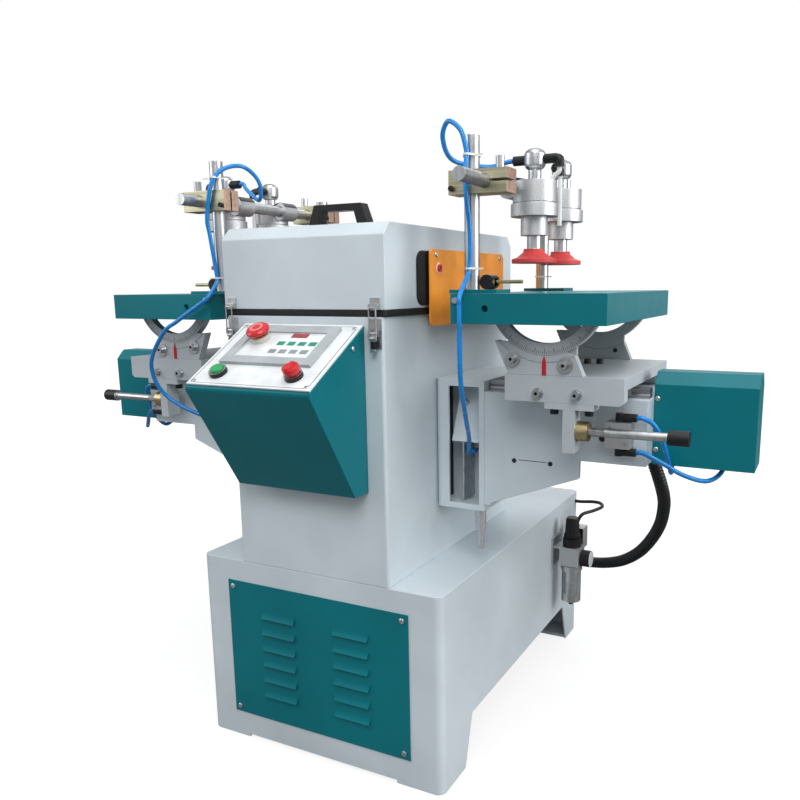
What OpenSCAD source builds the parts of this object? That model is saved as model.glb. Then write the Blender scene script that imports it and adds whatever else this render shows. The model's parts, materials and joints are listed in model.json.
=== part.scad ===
// Double-station tenoning machine: cabinet, column and latched hood, with a tilting clamp table on each side.
// Lengths are millimetres. Places are given behind the base's front, right of its middle and above the floor.

/* [Base cabinet] */
// Width of the base cabinet
base_w = 520; // [480:1:600]
// Depth of the base cabinet
base_d = 762; // [720:1:860]
// Height of the base cabinet
base_h = 367; // [340:1:420]
// Thickness of the folded sheet walls
sheet_t = 5; // [4:0.5:7]
// Radius of the upright corners of the base
base_corner_r = 16; // [10:1:24]
// Height of the arch between the feet at the sides
arch_h = 96; // [60:1:120]

/* [Service panel] */
// Width of the louvred panel
panel_w = 395; // [340:1:420]
// Height of the louvred panel
panel_h = 273; // [260:1:285]
// Height of the panel's lower edge
panel_z = 53; // [45:1:60]
// Rows of louvres
louvre_rows = 6; // [4:1:6]

/* [Column and hood] */
// Width of the column
column_w = 322; // [300:1:340]
// Depth of the column
column_d = 528; // [500:1:560]
// Height of the column above the base
column_h = 460; // [440:1:490]
// Height of the hood
hood_h = 139; // [130:1:160]
// How far the hood overhangs the column at each side
hood_overhang = 5; // [3:0.5:8]
// Slope along the front and back edges of the hood's top
hood_chamfer = 20; // [12:1:30]
// Height of the rubber seal under the hood
seal_h = 11; // [8:1:14]

/* [Control box] */
// Width of the control box
box_w = 246; // [230:1:260]
// How far the box stands out from the column
box_reach = 154; // [140:1:180]
// Height of the sloping panel from edge to edge
box_rise = 91; // [80:1:110]
// Height of the box below its front edge
box_drop = 188; // [160:1:200]

/* [Bed and carriage] */
// Height of the bed's top above the base
bed_rise = 323; // [312:1:340]
// Length of the bed bracket
bed_l = 289; // [275:1:320]
// Depth of the bed bracket
bed_d = 253; // [240:1:280]
// Height of the bed at its outer end
bed_h = 110; // [95:1:125]
// Length of the carriage
carriage_l = 198; // [180:1:205]
// Depth of the carriage
carriage_d = 327; // [320:1:350]
// Length of the end cover
cover_l = 163; // [140:1:190]

/* [Table and hold-down] */
// Width of the work table
table_w = 256; // [250:1:270]
// Depth of the work table
table_d = 454; // [440:1:490]
// Thickness of the work table
table_t = 48; // [44:1:54]
// Outer radius of the trunnion rings
ring_r = 98; // [92:1:100]
// Radius of the posts
post_r = 12.5; // [10:0.5:14]
// Radius of the hold-down rod
rod_r = 11; // [9:0.5:12]
// Height of the rod above the table
rod_rise = 175; // [168:1:200]
// Radius of the air cylinders
cylinder_r = 37; // [34:1:40]
// Radius of the rubber pads
pad_r = 38; // [34:1:44]

/* [Hidden] */
$fn = 64;
// Clearances and the overrun of every cut
overrun = 2;
run_gap = 0.3;
shaft_gap = 0.05;
// Colours
body_grey = "#c3cbd1";
teal = "#00676e";
orange = "#e87d2d";
steel = "#b9bcbf";
zinc = "#c9b98a";
black = "#1c1d1f";
red = "#c8413f";
blue = "#1e78c8";
white = "#eef0f1";
cast_grey = "#b4b8bb";
// Origin in the middle of the whole footprint
front_shift = (box_reach - base_d) / 2;

// Base cabinet details
foot_front = 94;
foot_rear = 78;
arch_lean = 31;
toe_w = 334;
toe_h = 6;
foot_plate = 70;
foot_plate_t = 8;
// Service panel details
panel_t = 2;
panel_lap = 20;
panel_screw_inset = 12;
louvre_w = 74;
louvre_h = 13;
louvre_out = 7;
louvre_skin = 1.5;
louvre_x = 80;
louvre_margin = 57;
dome_r = 5;
dome_h = 3;
// Column details
column_corner_r = 6;
column_top = base_h + column_h;
duct_r = 60;
duct_wall = 3;
duct_l = 60;
duct_rise = 120;
// Hood details
hood_w = column_w + 2 * hood_overhang;
hood_d = column_d + hood_overhang;
hood_wall = 4;
hood_z = column_top + seal_h;
hood_top = hood_z + hood_h;
seal_w = 16;
handle_x = 62;
handle_y = 26;
handle_l = 116;
handle_h = 32;
handle_w = 22;
handle_bar = 11;
handle_slant = 12;
handle_foot = 20;
opening_y = 118;
opening_d = 330;
opening_rise = 14;
opening_h = 72;
opening_r = 18;
guard_y = 133;
guard_d = 329;
guard_h = 132;
guard_drop = 32;
guard_t = 3;
guard_r = 12;
guard_gap = 9;
curtain_y = 104;
curtain_d = 358;
curtain_rise = 5;
curtain_h = 92;
curtain_t = 3;
standoff_r = 5;
standoff_inset = 22;
standoff_drop = 8;
guard_x = hood_w / 2 + guard_gap;
// Hinge at the back of the hood
hinge_x = 100;
hinge_w = 70;
hinge_share = 1 / 3;
pin_r = 3;
knuckle_r = 6;
leaf_t = 2.5;
leaf_h = 32;
hinge_y = hood_d + knuckle_r + run_gap;
// Draw latches
latch_x = 148;
latch_base_w = 21;
latch_base_h = 48;
latch_base_t = 2.5;
latch_top_gap = 3;
lever_w = 9;
lever_t = 5;
lever_l = 28;
lever_pivot_drop = 26;
lever_out = 8;
lever_eye_r = 3;
ear_t = 2;
ear_h = 10;
wire_r = 1.25;
bail_drop = 8;
bail_out = 3;
bail_l = 49;
bail_w = 13;
keeper_w = 18;
keeper_h = 20;
keeper_t = 3;
hook_h = 10;
hook_out = bail_out + lever_out - keeper_t - wire_r - run_gap;
// Control box details
box_x = 3;
box_foot = 42;
box_lip = 9;
box_wall = 2.5;
box_top_drop = 15;
box_top = column_top - box_top_drop;
box_edge = box_top - box_rise;
box_bottom = box_edge - box_drop;
slope = atan2(box_rise, box_reach);
slope_l = norm([box_rise, box_reach]);
plate_t = 3;
plate_margin = 1.5;
plate_screw_inset = 9;
plate_screw_r = 3.2;
// Display unit on the panel
display_w = 182;
display_h = 104;
display_v = 17;
display_frame = 17;
display_t = 6;
membrane_t = 3;
readout_w = 32;
readout_h = 11;
readout_x = 23;
readout_v = 41;
key_t = 0.8;
key_w = 14;
key_h = 10;
key_pitch = 21;
key_x = -2;
key_v = 63;
key_row = 22;
key_lean = 4;
// Push buttons
estop_x = -49;
estop_v = 53;
estop_r = 20;
estop_stem_r = 9;
estop_collar_r = 16;
estop_collar_h = 9;
estop_head_h = 11;
estop_travel = 4;
estop_profile_shares = [[0, 0], [0.8, 0], [1, 0.3], [1, 0.6], [0.85, 0.9], [0.5, 1], [0, 1]];
start_x = -74;
stop_x = 76;
button_v = 146;
bezel_r = 15;
bezel_h = 8;
cap_r = 11;
cap_h = 14;
cap_sunk = 5;
button_travel = 3;
stop_cap_r = 13.5;
stop_cap_h = 9;
stop_bar_w = 7;
stop_bar_h = 3;
// Side casing
side_x = base_w / 2;
casing_y = 177;
casing_rise = 19;
casing_drop = 221;
casing_corner_r = 14;
casing_wall = 6;
casing_lip = 28;
casing_lip_side = 5;
casing_lip_top = 12;
casing_lip_bottom = 10;
window_margin = 24;
chute_t = 3;
chute_y = 60;
chute_drop = 110;
liner_back = 66;
nozzle_r = 10;
nozzle_l = 75;
nozzle_inset = 12;
nozzle_bore_r = 3;
nozzle_tip_share = 0.6;
// Bed and rails
bed_top = base_h + bed_rise;
bed_y = casing_y;
bed_wall = 12;
gusset_l = 176;
gusset_drop = 208;
gusset_end_drop = 142;
rail_inset = 30;
rail_w = 20;
rail_h = 17;
rail_groove = 4;
rail_end_gap = 2;
// Carriage
carriage_in = 70;
carriage_x = side_x + carriage_in;
carriage_front = 76;
carriage_y = bed_y - carriage_front;
carriage_lift = 23;
carriage_t = 20;
carriage_bottom = bed_top + carriage_lift;
carriage_top = carriage_bottom + carriage_t;
apron_h = 44;
apron_t = 24;
apron_corner = 6;
apron_screw_share = 2 / 3;
block_l = 60;
block_w = 44;
block_end = 10;
block_foot = 5;
screw_r = 6.5;
screw_h = 9;
screw_in = 58;
screw_pitch = 64;
washer_r = 9;
washer_t = 2;
hex_r = 3;
hex_depth = 4;
// Feed cylinder
feed_y = 262;
feed_drop = 52;
feed_z = bed_top - feed_drop;
feed_r = 26;
feed_bore_r = 22;
feed_rod_r = 8;
feed_start = 150;
feed_l = 268;
feed_cap = 12;
feed_lug_w = 26;
feed_lug_t = 16;
feed_lug_x = 60;
travel_in = 30;
travel_out = 15;
travel_room = 6;
feed_slot_w = 32;
feed_port_x = 316;
feed_port_pitch = 86;
// Cradles and trunnions
table_rise = 173;
table_top = bed_top + table_rise;
table_under = table_top - table_t;
pivot_out = 138;
pivot_x = side_x + pivot_out;
cradle_t = 16;
ring_in_r = 79;
ring_line = 0.8;
rim_extra = 12;
rim_r = ring_r + rim_extra;
rim_t = 8;
rim_drop = 78;
cradle_rise = table_top - carriage_top;
cradle_foot_left_share = 0.48;
cradle_foot_right_share = 0.5;
cradle_tip_left_share = 0.66;
cradle_tip_right_share = 0.39;
cradle_tip_left_z_share = 0.415;
cradle_tip_right_z_share = 0.25;
clamp_angles = [-27, 17];
clamp_out = 8;
clamp_r = rim_r + clamp_out;
clamp_washer_r = 13;
clamp_washer_t = 3;
pointer_w = 7;
pointer_t = 1.5;
// Table
table_in = 6;
table_x = side_x - table_in;
table_front = 46;
table_y = carriage_y - table_front;
table_skin = 14;
table_skirt = 12;
rib_t = 28;
table_hole_r = 5.5;
table_hole_x = 60;
table_hole_depth = 30;
set_screw_x = 9;
set_screw_drop = 11;
set_screw_r = 5;
// Posts
post_inset = 14;
front_post_y = 55;
rear_post_y = 59;
front_post_h = 248;
rear_post_h = 203;
foot_w = 84;
foot_d = 60;
foot_t = 6;
foot_over = 14;
stop_r = 12;
stop_l = 30;
stop_y = 84;
stop_gap = 1;
stop_rod_r = 3;
stop_rod_l = 46;
// Cross bars, rod and cylinders
bar_l = 102;
bar_h = 38;
bar_w = 40;
bar_back = 33;
rod_shift = 30;
rod_front = 92;
left_rod_front = 48;
rod_over = 30;
slit_t = 4;
bolt_r = 7;
bolt_h = 20;
bolt_inset = 20;
cap_screw_r = 4.5;
cap_screw_h = 6;
cylinder_shift = 40;
front_room_share = 0.293;
rear_room_share = 0.264;
cylinder_up = 9;
groove_drop = 28;
groove_t = 2;
flange_drop = 49;
flange_extra = 3;
flange_r = cylinder_r + flange_extra;
bar_room = table_d - front_post_y - rear_post_y - bar_w - 4 * flange_r;
front_cylinder_y = front_post_y + bar_w / 2 + front_room_share * bar_room + flange_r;
rear_cylinder_y = table_d - rear_post_y - bar_w / 2 - rear_room_share * bar_room - flange_r;
nose_drop = 80;
nose_r = 23;
boss_r = 19;
boss_l = 44;
piston_rod_r = 12;
chamber_r = 28;
chamber_wall = 8;
pad_drop = 102;
pad_h = 24;
pad_lip = 7;
pad_top_r = 18;
pad_slope_share = 1.5;
pad_waist_share = 0.8;
neck_r = 11;
neck_h = 18;
drum_r = 18;
drum_h = 34;
drum_profile_shares = [[0, 0], [0.55, 0], [0.85, 0.1], [1, 0.25], [1, 0.75], [0.85, 0.9], [0.55, 1], [0, 1]];
elbow_r = 8;
elbow_l = 20;
// Limit valve on the bed
valve_x = 227;
valve_w = 41;
valve_d = 30;
valve_h = 43;
valve_drop = 34;
valve_elbow_r = 7;
valve_elbow_l = 14;
// End cover
cover_y = 45;
cover_d = 80;
cover_h = 156;
cover_over = 42;
cover_chamfer = 20;
cover_wall = 3;
cover_screw_r = 4;
cover_screw_h = 3;
cover_screw_inset = 6;
cover_screw_drops = [44, 130];
// Feed handle
tee_x = 139;
tee_w = 82;
tee_t = 10;
tee_d = 32;
web_w = 20;
web_h = 70;
handle_drop = 35;
nut_r = 16;
nut_l = 20;
hex_part_r = 7.5;
hex_part_l = 26;
feed_handle_r = 7;
feed_handle_l = 98;
grip_r = 12;
grip_l = 32;
// Air regulator on the right side of the base
regulator_inset = 172;
regulator_y = base_d - regulator_inset;
regulator_out = 40;
regulator_z = 258;
regulator_w = 46;
regulator_h = 44;
bonnet_r = 21;
bonnet_h = 20;
knob_r = 19;
knob_h = 48;
knob_neck_r = 9;
knob_neck_h = 20;
bowl_r = 22;
bowl_h = 88;
bowl_wall = 3;
drain_r = 3;
gauge_r = 19;
gauge_t = 22;
port_w = 38;
port_d = 36;
port_rise = 8;
port_over = 16;
bracket_t = 4;
bracket_w = 60;
inlet_back = 108;
inlet_rise = 28;
// Electrics behind the service panel
tray_w = panel_w - panel_lap;
tray_h = 230;
tray_y = 90;
tray_z = 75;
tray_t = 3;
drive_w = 130;
drive_h = 170;
drive_d = 60;
relay_w = 45;
relay_h = 80;
relay_d = 55;
relay_pitch = 52;
device_inset = 20;
// Cutter spindle inside the column
slide_rail_x = 80;
slide_rail_l = 340;
slide_rail_y = 110;
slide_rail_w = 18;
slide_rail_h = 14;
slide_w = 210;
slide_d = 200;
slide_y = 190;
slide_t = 24;
slide_foot = 4;
mast_w = 120;
mast_t = 60;
mast_over = 30;
dovetail_w = 40;
dovetail_t = 12;
spindle_rise = 47;
motor_r = 54;
motor_l = 150;
saddle_h = 120;
saddle_t = 26;
shaft_r = 14;
cutter_r = 44;
cutter_w = 34;
cutter_gap = 8;
cutter_teeth = 4;
tooth_w = 10;
tooth_out = 4;
spindle_y = slide_y + slide_d - mast_t - dovetail_t - saddle_t - motor_r;
spindle_z = hood_z + spindle_rise;
// Tubes
tube_r = 4;
tube_sides = 8;
tube_steps = 3;
steep_share = 0.8;
conduit_r = 13;
conduit_bore_r = 9;
conduit_valley_r = 11.2;
conduit_ribs = 70;
gland_r = 18;
bed_gland_x = 245;
bed_gland_y = 208;
bed_gland_drop = 30;
base_gland_l = 14;
base_gland_inset = 54;
base_gland_drop = 165;
tube_gap = 0.8;
tube_in = 34;
tube_drop = 118;

// Ports that the tubes run between
valve_port_x = side_x + valve_x + valve_w / 2 + 2 * valve_elbow_l + run_gap;
valve_top_port = [valve_port_x, bed_y - valve_d / 2, bed_top - valve_drop + valve_elbow_r];
valve_bottom_port = [valve_port_x, bed_y - valve_d / 2, bed_top - valve_drop - valve_h - valve_elbow_r];
feed_rear_port = [side_x + feed_port_x, feed_y, feed_z - feed_r - run_gap];
feed_end_port = [side_x + feed_port_x + feed_port_pitch, feed_y, feed_z - feed_r - run_gap];
cylinder_port = [table_x + post_inset + rod_shift + cylinder_shift - drum_r - elbow_l - tube_gap,
    table_y + front_cylinder_y, table_top + rod_rise + cylinder_up + neck_h + drum_h / 2];
regulator_port = [side_x + regulator_out, regulator_y + regulator_w / 2 + port_d / 2,
    regulator_z + regulator_h / 2 + bonnet_h + port_over + run_gap];
conduit_start = [side_x + bed_gland_x, bed_y + bed_gland_y, bed_top - bed_gland_drop];
conduit_end = [side_x + base_gland_l, base_d - base_gland_inset, base_h - base_gland_drop];

// Hand-chosen bends, measured outward, backward and upward from the corner or the port that each follows
function from_spot(spot, bends) = [for (bend = bends) spot + bend];
bed_corner = [side_x, bed_y, bed_top];
table_corner = [side_x, table_y, table_top];
tube_start = [-tube_in, liner_back - run_gap, -tube_drop];
right_lower_bends = [tube_start, [-34, 28, -117], [-34, 6, -115], [-17, -27, -84], [4, -87, -30],
    [15, -128, 34], [17, -136, 110], [17, -136, 155]];
left_lower_bends = [tube_start, [-34, 28, -117], [-34, 6, -115], [-12, -27, -104], [88, -77, -68],
    [148, -107, -24], [151, -129, 37], [102, -139, 99], [64, -139, 122], [25, -137, 144]];
right_post_bends = [[17, -14, -17.5], [17, -14, -6], [15, 6, 13], [12, 33, 34], [13, 37, 67], [12, 36, 109],
    [10, 29, 150], [9, 29, 190], [9, 34, 219]];
right_loop_bends = [[-40, -123, 34], [-65, -117, 51], [-80, -107, 28], [-72, -85, -4], [-35, -29, -10],
    [-9, 0, 0], [0, 0, 0]];
left_post_bends = [[24.4, -15, -28.7], [8.5, -14, -20], [-11, -10, -7], [-12, 10, 14], [3, 35, 26],
    [7, 37, 45], [14, 34, 110], [15, 30, 142], [4, 29, 192]];
left_loop_bends = [[-43, -121, -3], [-58, -105, 15], [-75, -80, 20], [-79, -50, 8], [-79, -33, -12],
    [-61, -17, -36], [-19, -2, -12], [-9, 0, 0], [0, 0, 0]];
right_upper_route = concat(from_spot(table_corner, right_post_bends),
    from_spot(cylinder_port, right_loop_bends));
left_upper_route = concat(from_spot(table_corner, left_post_bends),
    from_spot(cylinder_port, left_loop_bends));
valve_top_bends = [[286, -15, -27], [302, -9, -38], [314, 7, -68], [320, 29, -106], [320, 55, -128],
    [317, 77, -118], [316, 85, -90]];
valve_top_route = concat([valve_top_port], from_spot(bed_corner, valve_top_bends), [feed_rear_port]);
valve_bottom_bends = [[288, -15, -84], [316, 3, -102], [346, 27, -124], [378, 53, -136], [398, 75, -124],
    [402, 85, -95]];
valve_bottom_route = concat([valve_bottom_port], from_spot(bed_corner, valve_bottom_bends), [feed_end_port]);
regulator_bends = [[0, 0, 0], [0, 0, 10], [8, 11, 26], [27, 38, 30], [38, 71, 32], [26, 99, 32],
    [5, inlet_back, 31], [-25, inlet_back, inlet_rise]];
regulator_route = concat(from_spot(regulator_port, regulator_bends),
    [[side_x + run_gap, regulator_port[1] + inlet_back, regulator_port[2] + inlet_rise]]);
// The conduit swings outward while it runs back and down between its two glands
conduit_out = [245, 245, 246, 252, 269, 271, 266, 253, 228, 191, 143, 92, 52, 32];
conduit_back_shares = [0, 0, 0.006, 0.012, 0.062, 0.17, 0.269, 0.387, 0.511, 0.666, 0.82, 0.944, 0.994, 1];
conduit_drop_shares = [0, 0.066, 0.131, 0.214, 0.345, 0.434, 0.507, 0.605, 0.712, 0.823, 0.917, 0.976,
    0.998, 1];
conduit_route = [for (i = [0 : len(conduit_out) - 1]) [side_x + conduit_out[i],
    conduit_start[1] + conduit_back_shares[i] * (conduit_end[1] - conduit_start[1]),
    conduit_start[2] + conduit_drop_shares[i] * (conduit_end[2] - conduit_start[2])], conduit_end];

// Moves a drawing from the front of the base to the part's own frame
module from_front() {
    translate([0, front_shift, 0]) children();
}

// The same drawing on both sides of the machine
module both_sides() {
    children();
    mirror([1, 0, 0]) children();
}

// A drawing for the right side, mirrored when it stands on the left
module on_side(left) {
    from_front() {
        if (left) mirror([1, 0, 0]) children();
        else children();
    }
}

// A block between two corners
module block(low, high) {
    translate(low) cube(high - low);
}

module along_x(x0, x1, y, z, r) {
    translate([x0, y, z]) rotate([0, 90, 0]) cylinder(h = x1 - x0, r = r);
}

module along_y(x, y0, y1, z, r) {
    translate([x, y0, z]) rotate([-90, 0, 0]) cylinder(h = y1 - y0, r = r);
}

module upright(x, y, z0, z1, r) {
    translate([x, y, z0]) cylinder(h = z1 - z0, r = r);
}

// A plate cut from an outline seen from the front
module front_plate(points, y0, y1) {
    translate([0, y1, 0]) rotate([90, 0, 0]) linear_extrude(y1 - y0) polygon(points);
}

// A plate cut from an outline seen from the side
module side_plate(points, x0, x1) {
    translate([x0, 0, 0]) rotate([90, 0, 90]) linear_extrude(x1 - x0) polygon(points);
}

module rounded_rect(size, r) {
    translate([r, 0]) square([size[0] - 2 * r, size[1]]);
    translate([0, r]) square([size[0], size[1] - 2 * r]);
    for (x = [r, size[0] - r], y = [r, size[1] - r]) translate([x, y]) circle(r);
}

// An upright box with round corners
module rounded_box(low, high, r) {
    translate(low) linear_extrude(high[2] - low[2]) rounded_rect([high[0] - low[0], high[1] - low[1]], r);
}

// A socket-head screw that faces forward, with its washer
module face_screw(x, y, z) {
    along_y(x, y - washer_t, y, z, washer_r);
    difference() {
        along_y(x, y - washer_t - screw_h, y - washer_t, z, screw_r);
        translate([x, y - washer_t - screw_h - overrun, z]) rotate([-90, 0, 0])
            cylinder(h = hex_depth + overrun, r = hex_r, $fn = 6);
    }
}

// Sweep of a round tube along a route
function unit(v) = v / norm(v);
function blend_point(a, b, c, d, t) = ((2 * b) + (c - a) * t + (2 * a - 5 * b + 4 * c - d) * t * t
    + (3 * b - a - 3 * c + d) * t * t * t) / 2;
function smooth(p, steps) = let (n = len(p)) [for (i = [0 : n - 2], s = [0 : steps - 1])
    blend_point(p[max(i - 1, 0)], p[i], p[i + 1], p[min(i + 2, n - 1)], s / steps), p[n - 1]];
function tangents(p, route) = let (n = len(p), m = len(route)) [unit(route[1] - route[0]),
    for (i = [1 : n - 2]) unit(p[i + 1] - p[i - 1]), unit(route[m - 1] - route[m - 2])];
function sides_of(t, i, side) = i >= len(t) ? [] :
    let (flat = unit(side - (side * t[i]) * t[i])) concat([flat], sides_of(t, i + 1, flat));
function first_side(t) = cross(t, abs(t[2]) < steep_share ? [0, 0, 1] : [1, 0, 0]);
function ring_points(p, route, r, sides) = let (t = tangents(p, route), n = sides_of(t, 0, first_side(t[0])))
    [for (i = [0 : len(p) - 1], k = [0 : sides - 1]) let (a = 360 * k / sides)
        p[i] + r[i] * (cos(a) * n[i] + sin(a) * cross(t[i], n[i]))];
function wall_faces(rings, sides, start, inward) = [for (i = [0 : rings - 2], k = [0 : sides - 1],
    half = [0, 1])
    let (a = start + i * sides + k, b = start + i * sides + (k + 1) % sides, c = a + sides, d = b + sides,
        f = half == 0 ? [a, c, b] : [b, c, d]) inward ? [f[2], f[1], f[0]] : f];
function cap_faces(sides, start, flip) = [for (k = [1 : sides - 2])
    flip ? [start, start + k + 1, start + k] : [start, start + k, start + k + 1]];
function rim_faces(sides, outer, inner, flip) = [for (k = [0 : sides - 1], half = [0, 1])
    let (a = outer + k, b = outer + (k + 1) % sides, c = inner + k, d = inner + (k + 1) % sides,
        f = half == 0 ? [a, b, c] : [b, d, c]) flip ? [f[2], f[1], f[0]] : f];

module tube(route, r) {
    line = smooth(route, tube_steps);
    rings = len(line);
    polyhedron(ring_points(line, route, [for (p = line) r], tube_sides),
        concat(wall_faces(rings, tube_sides, 0, false), cap_faces(tube_sides, 0, false),
            cap_faces(tube_sides, (rings - 1) * tube_sides, true)));
}

// A ribbed tube with a plain bore, whose ends run plain for one rib
module ribbed_tube(route, ridge_r, valley_r, bore_r, ribs) {
    steps = ceil(2 * ribs / (len(route) - 1));
    line = smooth(route, steps);
    rings = len(line);
    sides = tube_sides;
    outer = ring_points(line, route, [for (i = [0 : rings - 1])
        i < 2 || i > rings - 3 || i % 2 == 0 ? valley_r : ridge_r], sides);
    inner = ring_points(line, route, [for (p = line) bore_r], sides);
    last = (rings - 1) * sides;
    polyhedron(concat(outer, inner), concat(wall_faces(rings, sides, 0, false),
        wall_faces(rings, sides, rings * sides, true), rim_faces(sides, 0, rings * sides, false),
        rim_faces(sides, last, rings * sides + last, true)));
}

// Base cabinet with the conduit's gland in its right side
module base_cabinet() {
    half = base_w / 2;
    gland = conduit_route[len(conduit_route) - 1];
    color(black) from_front() difference() {
        along_x(half, gland[0] - run_gap, gland[1], gland[2], gland_r);
        along_x(half + run_gap, gland[0] + overrun, gland[1], gland[2], conduit_bore_r);
    }
    color(body_grey) from_front() {
        difference() {
            rounded_box([-half, 0, 0], [half, base_d, base_h], base_corner_r);
            rounded_box([sheet_t - half, sheet_t, -overrun], [half - sheet_t, base_d - sheet_t,
                base_h - sheet_t],
                base_corner_r - sheet_t);
            side_plate([[foot_front, -overrun], [foot_front, 0], [foot_front + arch_lean, arch_h],
                [base_d - foot_rear - arch_lean, arch_h], [base_d - foot_rear, 0],
                [base_d - foot_rear, -overrun]], -half - overrun, half + overrun);
            block([-toe_w / 2, -overrun, -overrun], [toe_w / 2, base_d + overrun, toe_h]);
            block([panel_lap - panel_w / 2, -overrun, panel_z + panel_lap],
                [panel_w / 2 - panel_lap, sheet_t + overrun, panel_z + panel_h - panel_lap]);
        }
        for (x = [sheet_t - half, half - sheet_t - foot_plate], y = [sheet_t, base_d - sheet_t - foot_plate])
            block([x, y, 0], [x + foot_plate, y + foot_plate, foot_plate_t]);
    }
}

// Service panel with two columns of pressed louvres
module louvre_panel() {
    pitch = (panel_h - 2 * louvre_margin) / (louvre_rows - 1);
    color(teal) from_front() {
        difference() {
            block([-panel_w / 2, -panel_t, panel_z], [panel_w / 2, 0, panel_z + panel_h]);
            for (x = [-louvre_x, louvre_x], i = [0 : louvre_rows - 1])
                let (z = panel_z + louvre_margin + i * pitch)
                    block([x - louvre_w / 2 + louvre_skin, -panel_t - overrun, z - louvre_h / 2],
                        [x + louvre_w / 2 - louvre_skin, overrun, z]);
        }
        for (x = [-louvre_x, louvre_x], i = [0 : louvre_rows - 1])
            let (z = panel_z + louvre_margin + i * pitch, y = -panel_t) difference() {
                side_plate([[y, z + louvre_h / 2], [y - louvre_out, z - louvre_h / 2], [y, z - louvre_h / 2]],
                    x - louvre_w / 2, x + louvre_w / 2);
                side_plate([[y + louvre_skin, z + louvre_h / 2 - louvre_skin],
                    [y - louvre_out + louvre_skin, z - louvre_h / 2 - overrun],
                    [y + louvre_skin, z - louvre_h / 2 - overrun]],
                    x - louvre_w / 2 + louvre_skin, x + louvre_w / 2 - louvre_skin);
            }
    }
}

// Column with a window to each side casing and a dust spigot at the back
module column() {
    half = column_w / 2;
    duct_z = base_h + duct_rise;
    color(body_grey) from_front() difference() {
        union() {
            rounded_box([-half, 0, base_h], [half, column_d, column_top], column_corner_r);
            along_y(0, column_d - sheet_t, column_d + duct_l, duct_z, duct_r);
        }
        rounded_box([sheet_t - half, sheet_t, base_h - overrun],
            [half - sheet_t, column_d - sheet_t, column_top + overrun], column_corner_r - sheet_t);
        along_y(0, column_d - sheet_t - overrun, column_d + duct_l + overrun, duct_z, duct_r - duct_wall);
        block([-half - overrun, casing_y + liner_back, bed_top - casing_drop + window_margin],
            [half + overrun, casing_y + bed_d - window_margin, bed_top + casing_rise - window_margin]);
    }
}

// Rubber seal on the column's rim
module column_seal() {
    half = hood_w / 2;
    color(black) from_front() difference() {
        rounded_box([-half, 0, column_top], [half, hood_d, hood_z - run_gap], column_corner_r);
        rounded_box([seal_w - half, seal_w, column_top - overrun],
            [half - seal_w, hood_d - seal_w, hood_z + overrun], column_corner_r);
    }
}

// Hood with a workpiece opening in each side
module hood() {
    half = hood_w / 2;
    inner = hood_chamfer - hood_wall / 2;
    color(body_grey) from_front() difference() {
        side_plate([[0, hood_z], [0, hood_top - hood_chamfer], [hood_chamfer, hood_top],
            [hood_d - hood_chamfer, hood_top], [hood_d, hood_top - hood_chamfer], [hood_d, hood_z]], -half,
                half);
        side_plate([[hood_wall, hood_z - overrun], [hood_wall, hood_top - hood_wall - inner],
            [hood_wall + inner, hood_top - hood_wall], [hood_d - hood_wall - inner, hood_top - hood_wall],
            [hood_d - hood_wall, hood_top - hood_wall - inner], [hood_d - hood_wall, hood_z - overrun]],
            hood_wall - half, half - hood_wall);
        translate([-half - overrun, opening_y, hood_z + opening_rise]) rotate([90, 0, 90])
            linear_extrude(hood_w + 2 * overrun) rounded_rect([opening_d, opening_h], opening_r);
    }
}

// Rubber curtain, guard plate and its standoffs on each side of the hood
module side_guards() {
    x = hood_w / 2;
    from_front() both_sides() {
        color(black) difference() {
            translate([x, curtain_y, hood_z + curtain_rise]) rotate([90, 0, 90])
                linear_extrude(curtain_t) rounded_rect([curtain_d, curtain_h], opening_r);
            for (y = [guard_y + standoff_inset, guard_y + guard_d - standoff_inset])
                along_x(x - overrun, guard_x, y, hood_z + guard_h - guard_drop - standoff_drop,
                    standoff_r + run_gap);
        }
        color(orange) translate([guard_x, guard_y, hood_z - guard_drop]) rotate([90, 0, 90])
            linear_extrude(guard_t) rounded_rect([guard_d, guard_h], guard_r);
        for (y = [guard_y + standoff_inset, guard_y + guard_d - standoff_inset])
            color(steel) along_x(x, guard_x, y, hood_z + guard_h - guard_drop - standoff_drop, standoff_r);
    }
}

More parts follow.
